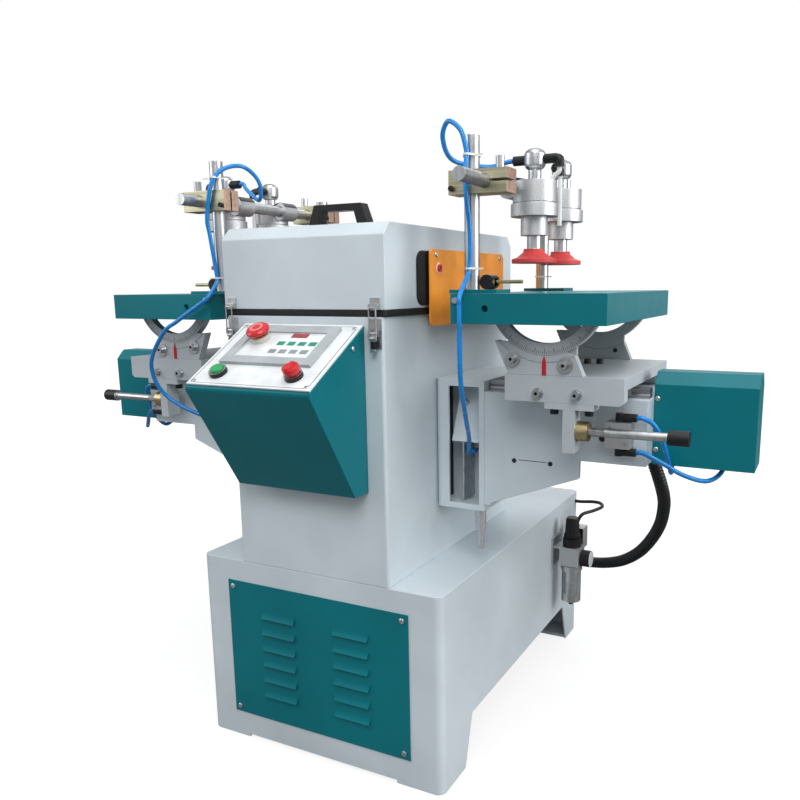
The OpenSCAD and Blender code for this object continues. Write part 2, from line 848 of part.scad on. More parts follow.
// Bridge handle, latch keepers and the hood's half of each hinge
module hood_hardware() {
    z = hood_top;
    x0 = handle_x - handle_l / 2;
    x1 = handle_x + handle_l / 2;
    from_front() {
        color(black) front_plate([[x0, z], [x0 + handle_slant, z + handle_h], [x1 - handle_slant,
            z + handle_h],
            [x1, z], [x1 - handle_foot, z], [x1 - handle_foot - handle_slant / 2, z + handle_h - handle_bar],
            [x0 + handle_foot + handle_slant / 2, z + handle_h - handle_bar], [x0 + handle_foot, z]],
            handle_y, handle_y + handle_w);
        for (x = [-latch_x, latch_x]) color(steel) {
            block([x - keeper_w / 2, -keeper_t, hood_z], [x + keeper_w / 2, 0, hood_z + keeper_h]);
            block([x - keeper_w / 2, -keeper_t - hook_out, hood_z],
                [x + keeper_w / 2, -keeper_t, hood_z + hook_h]);
        }
        for (x = [-hinge_x, hinge_x]) color(steel) difference() {
            union() {
                block([x - hinge_w / 2, hood_d, hood_z], [x + hinge_w / 2, hood_d + leaf_t, hood_z + leaf_h]);
                for (side = [-1, 1]) let (c = x + side * hinge_w * hinge_share) {
                    along_x(c - hinge_w * hinge_share / 2 + run_gap, c + hinge_w * hinge_share / 2 - run_gap,
                        hinge_y, hood_z, knuckle_r);
                    block([c - hinge_w * hinge_share / 2 + run_gap, hood_d, hood_z],
                        [c + hinge_w * hinge_share / 2 - run_gap, hinge_y, hood_z + knuckle_r]);
                }
            }
            along_x(x - hinge_w, x + hinge_w, hinge_y, hood_z, pin_r + shaft_gap);
            block([x - hinge_w * hinge_share / 2 - run_gap, hood_d - overrun, hood_z - knuckle_r - run_gap],
                [x + hinge_w * hinge_share / 2 + run_gap, hinge_y + knuckle_r, hood_z + knuckle_r + leaf_t]);
        }
    }
}

// Latch bases on the column, with their pivot pins, and the column's half of each hinge with its pin
module hood_mounts() {
    z1 = column_top - latch_top_gap;
    pivot_z = column_top - lever_pivot_drop;
    from_front() {
        for (x = [-latch_x, latch_x]) color(steel) {
            block([x - latch_base_w / 2, -latch_base_t, z1 - latch_base_h], [x + latch_base_w / 2, 0, z1]);
            for (side = [-1, 1]) let (c = x + side * (latch_base_w - ear_t) / 2)
                block([c - ear_t / 2, -lever_out - ear_t, pivot_z - ear_h / 2],
                    [c + ear_t / 2, -latch_base_t, pivot_z + ear_h / 2]);
            along_x(x - latch_base_w / 2, x + latch_base_w / 2, -lever_out, pivot_z, wire_r);
        }
        for (x = [-hinge_x, hinge_x]) let (w = hinge_w * hinge_share / 2) color(steel) {
            block([x - hinge_w / 2, column_d, hood_z - seal_h - leaf_h],
                [x + hinge_w / 2, hood_d + leaf_t, hood_z - seal_h]);
            block([x - w, hood_d + run_gap, hood_z - seal_h], [x + w, hinge_y + leaf_t / 2, hood_z]);
            along_x(x - w, x + w, hinge_y, hood_z, knuckle_r - run_gap);
            along_x(x - hinge_w / 2, x + hinge_w / 2, hinge_y, hood_z, pin_r);
        }
    }
}

// Latch lever, which swings out and up from the column
module latch_lever(x) {
    pivot_z = column_top - lever_pivot_drop;
    y = -lever_out;
    bail_y = y - bail_out;
    bail_z = pivot_z - bail_drop;
    color(steel) from_front() difference() {
        union() {
            along_x(x - lever_w / 2, x + lever_w / 2, y, pivot_z, lever_eye_r);
            along_x(x - lever_w / 2, x + lever_w / 2, bail_y, bail_z, lever_eye_r);
            block([x - lever_w / 2, y - lever_t / 2, pivot_z - lever_l], [x + lever_w / 2, y + lever_t / 2,
                pivot_z]);
            block([x - lever_w / 2, y - lever_t, pivot_z - lever_l - lever_t / 2],
                [x + lever_w / 2, y, pivot_z - lever_l + lever_t / 2]);
        }
        along_x(x - lever_w, x + lever_w, y, pivot_z, wire_r + shaft_gap);
        along_x(x - lever_w, x + lever_w, bail_y, bail_z, wire_r + shaft_gap);
    }
}

// Wire bail in the lever's eye, whose bar stands before the keeper's hook
module latch_bail(x) {
    y = -lever_out - bail_out;
    z0 = column_top - lever_pivot_drop - bail_drop;
    color(steel) from_front() {
        for (side = [-1, 1]) {
            upright(x + side * bail_w / 2, y, z0 - wire_r, z0 + bail_l + wire_r, wire_r);
            along_x(x + (side < 0 ? -bail_w / 2 : 0), x + (side < 0 ? 0 : bail_w / 2), y, z0, wire_r);
        }
        along_x(x - bail_w / 2, x + bail_w / 2, y, z0 + bail_l, wire_r);
    }
}

// Control box: a wedge of sheet that hangs on the column
module control_box() {
    x0 = box_x - box_w / 2;
    x1 = box_x + box_w / 2;
    color(teal) from_front() difference() {
        side_plate([[0, box_top], [-box_reach, box_edge], [-box_reach, box_edge - box_lip],
            [-box_foot, box_bottom], [0, box_bottom]], x0, x1);
        side_plate([[-box_wall, box_top + overrun], [box_wall - box_reach, box_edge + overrun],
            [box_wall - box_reach, box_edge - box_lip], [box_wall - box_foot, box_bottom + box_wall],
            [-box_wall, box_bottom + box_wall]], x0 + box_wall, x1 - box_wall);
    }
}

// Places a drawing on the sloping panel, measured right of its middle and up from its upper edge
module on_panel() {
    from_front() translate([box_x, 0, box_top]) rotate([slope, 0, 0]) children();
}

// White panel plate with holes for the buttons
module control_panel() {
    color(white) on_panel() difference() {
        block([plate_margin - box_w / 2, 2 * plate_margin - slope_l, 0],
            [box_w / 2 - plate_margin, -plate_t * tan(slope), plate_t]);
        upright(estop_x, -estop_v, -overrun, plate_t + overrun, estop_stem_r + run_gap);
        for (x = [start_x, stop_x])
            upright(x, -button_v, -overrun, plate_t + overrun, cap_r + run_gap);
    }
}

// Display unit: frame, membrane, readout and two rows of keys
module display_unit() {
    z0 = plate_t;
    z1 = z0 + membrane_t;
    x0 = -display_w / 2;
    y1 = -display_v;
    y0 = y1 - display_h;
    on_panel() {
        color(steel) difference() {
            block([x0, y0, z0], [-x0, y1, z0 + display_t]);
            block([x0 + display_frame, y0 + display_frame, z0 - overrun],
                [-x0 - display_frame, y1 - display_frame, z0 + display_t + overrun]);
        }
        color(white) difference() {
            block([x0 + display_frame, y0 + display_frame, z0], [-x0 - display_frame, y1 - display_frame,
                z1]);
            upright(estop_x, -estop_v, z0 - overrun, z1 + overrun, estop_stem_r + run_gap);
        }
        color(red) block([readout_x - readout_w / 2, -readout_v - readout_h / 2, z1],
            [readout_x + readout_w / 2, readout_h / 2 - readout_v, z1 + key_t]);
        for (i = [0 : 3], row = [0, 1])
            let (x = key_x + i * key_pitch - row * key_lean, y = -key_v - row * key_row)
                color(row == 0 ? teal : steel) block([x - key_w / 2, y - key_h / 2, z1],
                    [x + key_w / 2, y + key_h / 2, z1 + key_t]);
    }
}

// Collars that the three buttons travel in
module button_bezels() {
    z1 = plate_t + membrane_t;
    on_panel() {
        color(white) difference() {
            upright(estop_x, -estop_v, z1, z1 + estop_collar_h, estop_collar_r);
            upright(estop_x, -estop_v, z1 - overrun, z1 + estop_collar_h + overrun, estop_stem_r + run_gap);
        }
        for (x = [start_x, stop_x]) color(black) difference() {
            upright(x, -button_v, plate_t, plate_t + bezel_h, bezel_r);
            upright(x, -button_v, plate_t - overrun, plate_t + bezel_h + overrun, cap_r + run_gap);
        }
    }
}

module estop_button() {
    z0 = plate_t + membrane_t + estop_collar_h + estop_travel + run_gap;
    color(red) on_panel() {
        upright(estop_x, -estop_v, 0, z0, estop_stem_r);
        translate([estop_x, -estop_v, z0]) rotate_extrude()
            polygon([for (p = estop_profile_shares) [p[0] * estop_r, p[1] * estop_head_h]]);
    }
}

module start_button() {
    color("#1f9a4b") on_panel()
        upright(start_x, -button_v, plate_t - cap_sunk + button_travel,
            plate_t - cap_sunk + button_travel + cap_h, cap_r);
}

module stop_button() {
    z0 = plate_t + bezel_h + button_travel + run_gap;
    color(red) on_panel() {
        upright(stop_x, -button_v, plate_t, z0, cap_r);
        upright(stop_x, -button_v, z0, z0 + stop_cap_h, stop_cap_r);
        block([stop_x - stop_bar_w / 2, -button_v - cap_r, z0 + stop_cap_h],
            [stop_x + stop_bar_w / 2, cap_r - button_v, z0 + stop_cap_h + stop_bar_h]);
    }
}

// Screws on the fixed body: service panel, control panel and end covers
module frame_screws() {
    color(steel) {
        from_front() for (x = [-1, 1], z = [panel_z + panel_screw_inset,
            panel_z + panel_h - panel_screw_inset])
            along_y(x * (panel_w / 2 - panel_screw_inset), -panel_t - dome_h, -panel_t, z, dome_r);
        on_panel() for (x = [-1, 1], y = [plate_margin - slope_l + plate_screw_inset,
            -plate_t - plate_screw_inset])
            upright(x * (box_w / 2 - plate_margin - plate_screw_inset), y, plate_t,
                plate_t + cover_screw_h / 2,
                plate_screw_r);
        from_front() both_sides() for (drop = cover_screw_drops)
            along_y(side_x + bed_l + cover_screw_inset, bed_y + cover_y - cover_screw_h, bed_y + cover_y,
                bed_top + cover_over - drop, cover_screw_r);
    }
}

// Side casing between the column and the bed, open towards the column, with a liner behind its mouth
module side_casings() {
    x0 = column_w / 2;
    x1 = side_x;
    y1 = casing_y + bed_d;
    z0 = bed_top - casing_drop;
    z1 = bed_top + casing_rise;
    color(body_grey) from_front() both_sides() {
        difference() {
            intersection() {
                rounded_box([x0, casing_y, z0], [x1 + casing_corner_r, y1, z1], casing_corner_r);
                block([x0, casing_y, z0], [x1, y1, z1]);
            }
            block([x0 - overrun, casing_y + casing_wall, z0 + casing_wall],
                [x1 - casing_wall, y1 - casing_wall, z1 - casing_wall]);
            block([x0 + casing_lip, casing_y - overrun, z0 + casing_lip_bottom],
                [x1 - casing_wall - casing_lip_side, casing_y + casing_wall + overrun, z1 - casing_lip_top]);
        }
        side_plate([[casing_y + chute_y, z1 - casing_wall], [casing_y + chute_y + chute_t, z1 - casing_wall],
            [casing_y + 2 * casing_wall + chute_t, z1 - casing_wall - chute_drop],
            [casing_y + 2 * casing_wall, z1 - casing_wall - chute_drop]],
            x0 + casing_lip, x1 - casing_wall);
        block([x0, casing_y + liner_back, z0 + casing_wall],
            [x1 - casing_wall, casing_y + liner_back + chute_t, z1 - casing_wall]);
        difference() {
            union() {
                upright(x1 - nozzle_inset, casing_y + nozzle_inset, z0 - nozzle_l / 2, z0, nozzle_r);
                upright(x1 - nozzle_inset, casing_y + nozzle_inset, z0 - nozzle_l, z0,
                    nozzle_r * nozzle_tip_share);
            }
            upright(x1 - nozzle_inset, casing_y + nozzle_inset, z0 - nozzle_l - overrun, z0 + overrun,
                nozzle_bore_r);
        }
    }
}

// Bed bracket: front, back and end plates under a top plate
module beds() {
    x0 = side_x;
    x1 = side_x + bed_l;
    y1 = bed_y + bed_d;
    outline = [[x0, bed_top - gusset_drop], [x0 + gusset_l, bed_top - gusset_end_drop],
        [x0 + gusset_l, bed_top - bed_h], [x1, bed_top - bed_h], [x1, bed_top], [x0, bed_top]];
    gland = conduit_route[0];
    color(black) from_front() difference() {
        upright(gland[0], gland[1], gland[2] + run_gap, bed_top - bed_wall, gland_r);
        upright(gland[0], gland[1], gland[2], bed_top - bed_wall - run_gap, conduit_bore_r);
    }
    color(body_grey) from_front() both_sides() difference() {
        union() {
            front_plate(outline, bed_y, bed_y + bed_wall);
            front_plate(outline, y1 - bed_wall, y1);
            block([x0, bed_y, bed_top - bed_wall], [x1, y1, bed_top]);
            block([x0, bed_y, bed_top - gusset_drop], [x0 + bed_wall, y1, bed_top]);
            block([x1 - bed_wall, bed_y, bed_top - bed_h], [x1, y1, bed_top]);
        }
        block([x0 + feed_lug_x - travel_in - travel_room, feed_y - feed_slot_w / 2,
            bed_top - bed_wall - overrun],
            [x0 + feed_lug_x + feed_lug_t + travel_out + travel_room, feed_y + feed_slot_w / 2,
                bed_top + overrun]);
        along_x(x1 - bed_wall - overrun, x1 + overrun, feed_y, feed_z, feed_r);
    }
}

// Rails of both beds and of the cutter's cross slide, grooved along each side
module guide_rails() {
    color(steel) from_front() {
        both_sides() for (y = [bed_y + rail_inset, bed_y + bed_d - rail_inset]) difference() {
            block([side_x + rail_end_gap, y - rail_w / 2, bed_top],
                [side_x + bed_l - rail_end_gap, y + rail_w / 2, bed_top + rail_h]);
            for (side = [-1, 1]) translate([0, y + side * rail_w / 2, bed_top + rail_h / 2]) rotate([45, 0,
                0])
                block([side_x, -rail_groove / 2, -rail_groove / 2],
                    [side_x + bed_l, rail_groove / 2, rail_groove / 2]);
        }
        for (x = [-slide_rail_x, slide_rail_x])
            block([x - slide_rail_w / 2, slide_rail_y, base_h],
                [x + slide_rail_w / 2, slide_rail_y + slide_rail_l, base_h + slide_rail_h]);
    }
}

// End cover: folded hood over the outer end of the feed cylinder, open below
module end_covers() {
    x0 = side_x + bed_l;
    y0 = bed_y + cover_y;
    y1 = y0 + cover_d;
    z1 = bed_top + cover_over;
    z0 = z1 - cover_h;
    in = cover_chamfer - cover_wall / 2;
    color(teal) from_front() both_sides() difference() {
        side_plate([[y0, z0], [y0, z1 - cover_chamfer], [y0 + cover_chamfer, z1], [y1 - cover_chamfer, z1],
            [y1, z1 - cover_chamfer], [y1, z0]], x0, x0 + cover_l);
        side_plate([[y0 + cover_wall, z0 - overrun], [y0 + cover_wall, z1 - cover_wall - in],
            [y0 + cover_wall + in, z1 - cover_wall], [y1 - cover_wall - in, z1 - cover_wall],
            [y1 - cover_wall, z1 - cover_wall - in], [y1 - cover_wall, z0 - overrun]],
            x0 + cover_wall, x0 + cover_l - cover_wall);
        along_x(x0 - overrun, x0 + cover_wall + overrun, feed_y, feed_z, feed_r + run_gap);
    }
}

// Limit valve on the bed's front with two push-in elbows
module limit_valves() {
    x0 = side_x + valve_x;
    z1 = bed_top - valve_drop;
    x = x0 + valve_w / 2;
    y = bed_y - valve_d / 2;
    from_front() both_sides() {
        color(steel) block([x0, bed_y - valve_d, z1 - valve_h], [x0 + valve_w, bed_y, z1]);
        color(black) {
            upright(x, y, z1, z1 + valve_elbow_l, valve_elbow_r);
            upright(x, y, z1 - valve_h - valve_elbow_l, z1 - valve_h, valve_elbow_r);
            difference() {
                along_x(x, x + 2 * valve_elbow_l, y, z1 + valve_elbow_r, valve_elbow_r - run_gap);
                upright(x, y, z1 - overrun, z1 + 2 * valve_elbow_l, valve_elbow_r);
            }
            difference() {
                along_x(x, x + 2 * valve_elbow_l, y, z1 - valve_h - valve_elbow_r, valve_elbow_r - run_gap);
                upright(x, y, z1 - valve_h - 2 * valve_elbow_l, z1 - valve_h + overrun, valve_elbow_r);
            }
        }
    }
}

// Feed cylinder barrel, through the bed's end plate and under the end cover
module feed_cylinders() {
    x0 = side_x + feed_start;
    x1 = x0 + feed_l;
    color(steel) from_front() both_sides() difference() {
        along_x(x0, x1, feed_y, feed_z, feed_r);
        along_x(x0 + feed_cap, x1 - feed_cap, feed_y, feed_z, feed_bore_r);
        along_x(x0 - overrun, x0 + feed_cap + overrun, feed_y, feed_z, feed_rod_r + shaft_gap);
    }
}

// Air regulator: bracket, body, bowl, gauge and shut-off block on the right side of the base
module air_regulator() {
    x = side_x + regulator_out;
    z0 = regulator_z - regulator_h / 2;
    z1 = z0 + regulator_h;
    half = regulator_w / 2;
    y = regulator_y;
    from_front() {
        color(steel) {
            block([side_x, y - bracket_w / 2, z0], [side_x + bracket_t, y + bracket_w / 2, z1 + bonnet_h]);
            block([side_x + bracket_t, y - half, z1 - bracket_t], [x - half, y + half, z1]);
        }
        color(steel) block([x - half, y - half, z0], [x + half, y + half, z1]);
        color(black) {
            upright(x, y, z1, z1 + bonnet_h, bonnet_r);
            upright(x, y, z1 + bonnet_h, z1 + bonnet_h + knob_neck_h, knob_neck_r);
        }
        color(steel) difference() {
            upright(x, y, z0 - bowl_h, z0, bowl_r);
            upright(x, y, z0 - bowl_h + bowl_wall, z0 - bowl_wall, bowl_r - bowl_wall);
            upright(x, y, z0 - bowl_h - overrun, z0 - bowl_h + bowl_wall + overrun, drain_r);
        }
        color(black) along_x(x + half, x + half + gauge_t, y, regulator_z - bracket_t, gauge_r);
        color(steel) block([x - port_w / 2, y + half, regulator_z + port_rise],
            [x + port_w / 2, y + half + port_d, z1 + bonnet_h + port_over]);
    }
}

// Knob on the regulator's neck
module regulator_knob() {
    x = side_x + regulator_out;
    z0 = regulator_z + regulator_h / 2 + bonnet_h + run_gap;
    color(black) from_front() difference() {
        upright(x, regulator_y, z0, z0 + knob_h, knob_r);
        upright(x, regulator_y, z0 - overrun, z0 + knob_neck_h, knob_neck_r + shaft_gap);
    }
}

// Ribbed conduit from the right bed to the base
module conduit() {
    color(black) from_front() ribbed_tube(conduit_route, conduit_r, conduit_valley_r, conduit_bore_r,
        conduit_ribs);
}

// Tray with the drive, breaker and contactors, on two side brackets behind the panel
module electrics_plate() {
    z0 = tray_z;
    half = tray_w / 2;
    y = tray_y - tray_t;
    from_front() {
        color(steel) {
            block([-half, y, z0], [half, tray_y, z0 + tray_h]);
            for (x = [-half, half - tray_t]) block([x, sheet_t, z0], [x + tray_t, y, z0 + tray_h]);
        }
        color(black) block([device_inset - half, y - drive_d, z0 + device_inset],
            [device_inset - half + drive_w, y, z0 + device_inset + drive_h]);
        for (i = [0, 1, 2]) let (x = half - device_inset - relay_w - i * relay_pitch)
            color(white) block([x, y - relay_d, z0 + tray_h - device_inset - relay_h],
                [x + relay_w, y, z0 + tray_h - device_inset]);
    }
}

// Cross slide that carries the cutter's mast
module spindle_slide() {
    z0 = base_h + slide_foot;
    y1 = slide_y + slide_d;
    mast_top = spindle_z + mast_over;
    color(cast_grey) from_front() difference() {
        union() {
            block([-slide_w / 2, slide_y, z0], [slide_w / 2, y1, z0 + slide_t]);
            block([-mast_w / 2, y1 - mast_t, z0 + slide_t], [mast_w / 2, y1, mast_top]);
            block([-dovetail_w / 2, y1 - mast_t - dovetail_t, mast_top - 2 * saddle_h],
                [dovetail_w / 2, y1 - mast_t, mast_top]);
        }
        for (x = [-slide_rail_x, slide_rail_x])
            block([x - slide_rail_w / 2 - run_gap, slide_y - overrun, z0 - overrun],
                [x + slide_rail_w / 2 + run_gap, y1 + overrun, base_h + slide_rail_h + run_gap]);
    }
}

// Motor head on the mast, with a bored shaft housing
module spindle_head() {
    y0 = spindle_y;
    y1 = y0 + motor_r + saddle_t + dovetail_t - run_gap;
    color(teal) from_front() difference() {
        union() {
            along_x(-motor_l / 2, motor_l / 2, y0, spindle_z, motor_r);
            block([-mast_w / 2, y0, spindle_z - saddle_h / 2], [mast_w / 2, y1, spindle_z + motor_r / 2]);
        }
        along_x(-motor_l, motor_l, y0, spindle_z, shaft_r + shaft_gap);
        block([-dovetail_w / 2 - run_gap, y1 - dovetail_t, spindle_z - saddle_h],
            [dovetail_w / 2 + run_gap, y1 + overrun, spindle_z + saddle_h]);
    }
}

// Shaft with a toothed cutter head at each end
module cutter_head() {
    x0 = motor_l / 2 + cutter_gap;
    color(steel) from_front() {
        along_x(-x0 - cutter_w, x0 + cutter_w, spindle_y, spindle_z, shaft_r);
        for (side = [-1, 1]) let (a = side > 0 ? x0 : -x0 - cutter_w) {
            along_x(a, a + cutter_w, spindle_y, spindle_z, cutter_r - tooth_out);
            for (i = [0 : cutter_teeth - 1]) translate([0, spindle_y,
                spindle_z]) rotate([i * 360 / cutter_teeth, 0, 0])
                block([a, -tooth_w / 2, cutter_r - 3 * tooth_out], [a + cutter_w, tooth_w / 2, cutter_r]);
        }
    }
}

// Carriage plate with its front apron
module carriage(left) {
    x0 = carriage_x;
    x1 = x0 + carriage_l;
    z0 = carriage_top - apron_h;
    color(body_grey) on_side(left) {
        block([x0, carriage_y + apron_t, carriage_bottom], [x1, carriage_y + carriage_d, carriage_top]);
        front_plate([[x0, z0], [x1 - apron_corner, z0], [x1, z0 + apron_corner], [x1, carriage_top], [x0,
            carriage_top]],
            carriage_y, carriage_y + apron_t);
    }
}

// Runner blocks, apron and clamp screws, pointers and the feed cylinder's rod
module carriage_hardware(left) {
    x0 = carriage_x;
    x1 = x0 + carriage_l;
    lug_x = side_x + feed_lug_x;
    on_side(left) {
        color(steel) for (x = [x0 + block_end, x1 - block_end - block_l],
            y = [bed_y + rail_inset, bed_y + bed_d - rail_inset]) difference() {
                block([x, y - block_w / 2, bed_top + block_foot], [x + block_l, y + block_w / 2,
                    carriage_bottom]);
                block([x - overrun, y - rail_w / 2 - run_gap, bed_top],
                    [x + block_l + overrun, y + rail_w / 2 + run_gap, bed_top + rail_h + run_gap]);
            }
        color(steel) {
            for (x = [screw_in, screw_in + screw_pitch])
                face_screw(x0 + x, carriage_y, carriage_top - apron_h * apron_screw_share);
            both_cradles() for (angle = clamp_angles) let (y = carriage_y - clamp_washer_t,
                x = pivot_x + clamp_r * sin(angle), z = table_top - clamp_r * cos(angle)) {
                along_y(x, y, carriage_y, z, clamp_washer_r);
                difference() {
                    along_y(x, y - screw_h, y, z, screw_r);
                    translate([x, y - screw_h - overrun, z]) rotate([-90, 0, 0])
                        cylinder(h = hex_depth + overrun, r = hex_r, $fn = 6);
                }
            }
            block([lug_x, feed_y - feed_lug_w / 2, feed_z - feed_rod_r],
                [lug_x + feed_lug_t, feed_y + feed_lug_w / 2, carriage_bottom]);
            block([lug_x, feed_y - feed_lug_w / 2, carriage_bottom - feed_lug_t / 2],
                [x0 + block_end, feed_y + feed_lug_w / 2, carriage_bottom]);
            along_x(lug_x + feed_lug_t, side_x + feed_start + feed_l / 2, feed_y, feed_z, feed_rod_r);
        }
        color(red) front_plate([[pivot_x - pointer_w / 2, carriage_top], [pivot_x + pointer_w / 2,
            carriage_top],
            [pivot_x + pointer_w / 2, table_top - rim_r], [pivot_x, table_top - ring_r],
            [pivot_x - pointer_w / 2, table_top - rim_r]], carriage_y - pointer_t, carriage_y);
    }
}

// The same drawing at the front cradle and, turned about, at the rear one
module both_cradles() {
    children();
    translate([0, 2 * carriage_y + carriage_d, 0]) mirror([0, 1, 0]) children();
}

// Cradles that the trunnion rings turn in: a lip round the ring, and room behind it for the ring's rim
module cradles(left) {
    z = carriage_top;
    x = pivot_x;
    y = carriage_y;
    h = cradle_rise;
    color(cast_grey) on_side(left) both_cradles() difference() {
        front_plate([[x - h * cradle_foot_left_share, z], [x + h * cradle_foot_right_share, z],
            [x + h * cradle_tip_right_share, z + h * cradle_tip_right_z_share], [x, table_top - ring_in_r],
            [x - h * cradle_tip_left_share, z + h * cradle_tip_left_z_share]], y, y + cradle_t);
        along_y(x, y - overrun, y + cradle_t + overrun, table_top, ring_r + run_gap);
        along_y(x, y + cradle_t - rim_t - run_gap, y + cradle_t + overrun, table_top, rim_r + run_gap);
        difference() {
            along_y(x, y - overrun, y + ring_line, table_top, rim_r);
            along_y(x, y - 2 * overrun, y + 2 * ring_line, table_top, rim_r - ring_line);
        }
    }
}

// Feed handle: tee bracket under the apron, nut, rod and grip
module feed_handle(left) {
    x0 = side_x + tee_x;
    xm = x0 + tee_w / 2;
    z1 = carriage_top - apron_h;
    z0 = z1 - tee_t;
    y0 = carriage_y;
    y = y0 + tee_d / 2;
    z = z0 - handle_drop;
    nut_x = xm + web_w / 2;
    rod_x = nut_x + nut_l + hex_part_l;
    on_side(left) {
        color(body_grey) {
            block([x0, y0, z0], [x0 + tee_w, y0 + tee_d, z1]);
            block([xm - web_w / 2, y0, z0 - web_h], [xm + web_w / 2, y0 + tee_d, z0]);
        }
        color(zinc) along_x(nut_x, nut_x + nut_l, y, z, nut_r);
        color(steel) {
            translate([nut_x + nut_l, y, z]) rotate([0, 90, 0]) cylinder(h = hex_part_l, r = hex_part_r,
                $fn = 6);
            along_x(rod_x, rod_x + feed_handle_l, y, z, feed_handle_r);
        }
        color(black) along_x(rod_x + feed_handle_l, rod_x + feed_handle_l + grip_l, y, z, grip_r);
    }
}

// Work table: skin, skirts and ribs over the trunnions
module table(left) {
    x0 = table_x;
    x1 = x0 + table_w;
    y0 = table_y;
    y1 = y0 + table_d;
    z0 = table_under;
    ring_y = carriage_y + cradle_t / 2;
    ring_back = carriage_y + carriage_d - cradle_t / 2;
    hole_z = table_top - table_t / 2;
    color(teal) on_side(left) difference() {
        union() {
            difference() {
                block([x0, y0, z0], [x1, y1, table_top]);
                block([x0 + table_skirt, y0 + table_skirt, z0 - overrun],
                    [x1 - table_skirt, y1 - table_skirt, table_top - table_skin]);
            }
            for (y = [ring_y, ring_back])
                block([x0 + table_skirt, y - rib_t / 2, z0], [x1 - table_skirt, y + rib_t / 2,
                    table_top - table_skin]);
        }
        along_y(x0 + table_hole_x, y0 - overrun, y0 + table_hole_depth, hole_z, table_hole_r);
    }
}

// Half rings under the table, each with a rim along its foot that the cradle's lip holds
module trunnions(left) {
    x = pivot_x;
    y = carriage_y;
    color(cast_grey) on_side(left) both_cradles() difference() {
        union() {
            along_y(x, y + run_gap, y + cradle_t, table_top, ring_r);
            intersection() {
                along_y(x, y + cradle_t - rim_t, y + cradle_t, table_top, rim_r);
                block([x - rim_r, y, table_top - rim_r],
                    [x + cradle_rise * cradle_tip_right_share, y + cradle_t, table_top - rim_drop]);
            }
        }
        along_y(x, y - overrun, y + cradle_t + overrun, table_top, ring_in_r);
        block([x - rim_r, y - overrun, table_under], [x + rim_r, y + cradle_t + overrun, table_top + rim_r]);
    }
}

// Posts on their foot plates, the work stop and the set screw in the table's front
module post_set(left) {
    x = table_x + post_inset;
    z = table_top;
    posts = [[table_y + front_post_y, front_post_h], [table_y + table_d - rear_post_y, rear_post_h]];
    stop_x0 = x + post_r + stop_gap;
    on_side(left) {
        for (p = posts) {
            color(steel) upright(x, p[0], z, z + p[1], post_r);
            color(teal) difference() {
                block([table_x - foot_over, p[0] - foot_d / 2, z], [table_x - foot_over + foot_w,
                    p[0] + foot_d / 2, z + foot_t]);
                upright(x, p[0], z - overrun, z + foot_t + overrun, post_r + shaft_gap);
            }
        }
        color(black) along_y(stop_x0 + stop_r, table_y + stop_y - stop_l, table_y + stop_y,
            z + foot_t + stop_r, stop_r);
        color(zinc) along_x(stop_x0 + 2 * stop_r, stop_x0 + 2 * stop_r + stop_rod_l,
            table_y + stop_y - stop_l / 2,
            z + foot_t + stop_r, stop_rod_r);
        color(steel) along_y(table_x + set_screw_x, table_y - dome_h, table_y, z - set_screw_drop,
            set_screw_r);
    }
}

// Split cross bars on the posts, with their bolts, and the rod that they hold
module holddown(left) {
    x = table_x + post_inset;
    rod_x = x + rod_shift;
    z = table_top + rod_rise;
    x0 = x - bar_back;
    x1 = x0 + bar_l;
    ys = [table_y + front_post_y, table_y + table_d - rear_post_y];
    front = left ? left_rod_front : rod_front;
    on_side(left) {
        for (y = ys) {
            color(zinc) difference() {
                block([x0, y - bar_w / 2, z - bar_h / 2], [x1, y + bar_w / 2, z + bar_h / 2]);
                upright(x, y, z - bar_h, z + bar_h, post_r + shaft_gap);
                along_y(rod_x, y - bar_w, y + bar_w, z, rod_r + shaft_gap);
                block([rod_x, y - bar_w, z - slit_t / 2], [x1 + overrun, y + bar_w, z + slit_t / 2]);
                block([x0 - overrun, y - slit_t / 2, z - bar_h], [x, y + slit_t / 2, z + bar_h]);
            }
            color(steel) upright(x1 - bolt_inset, y, z + bar_h / 2, z + bar_h / 2 + bolt_h, bolt_r);
            color(black) along_y(x0 + cap_screw_r + overrun, y - bar_w / 2 - cap_screw_h, y - bar_w / 2,
                z - bar_h / 4, cap_screw_r);
        }
        color(steel) along_y(rod_x, ys[0] - bar_w / 2 - front, ys[1] + bar_w / 2 + rod_over, z, rod_r);
    }
}

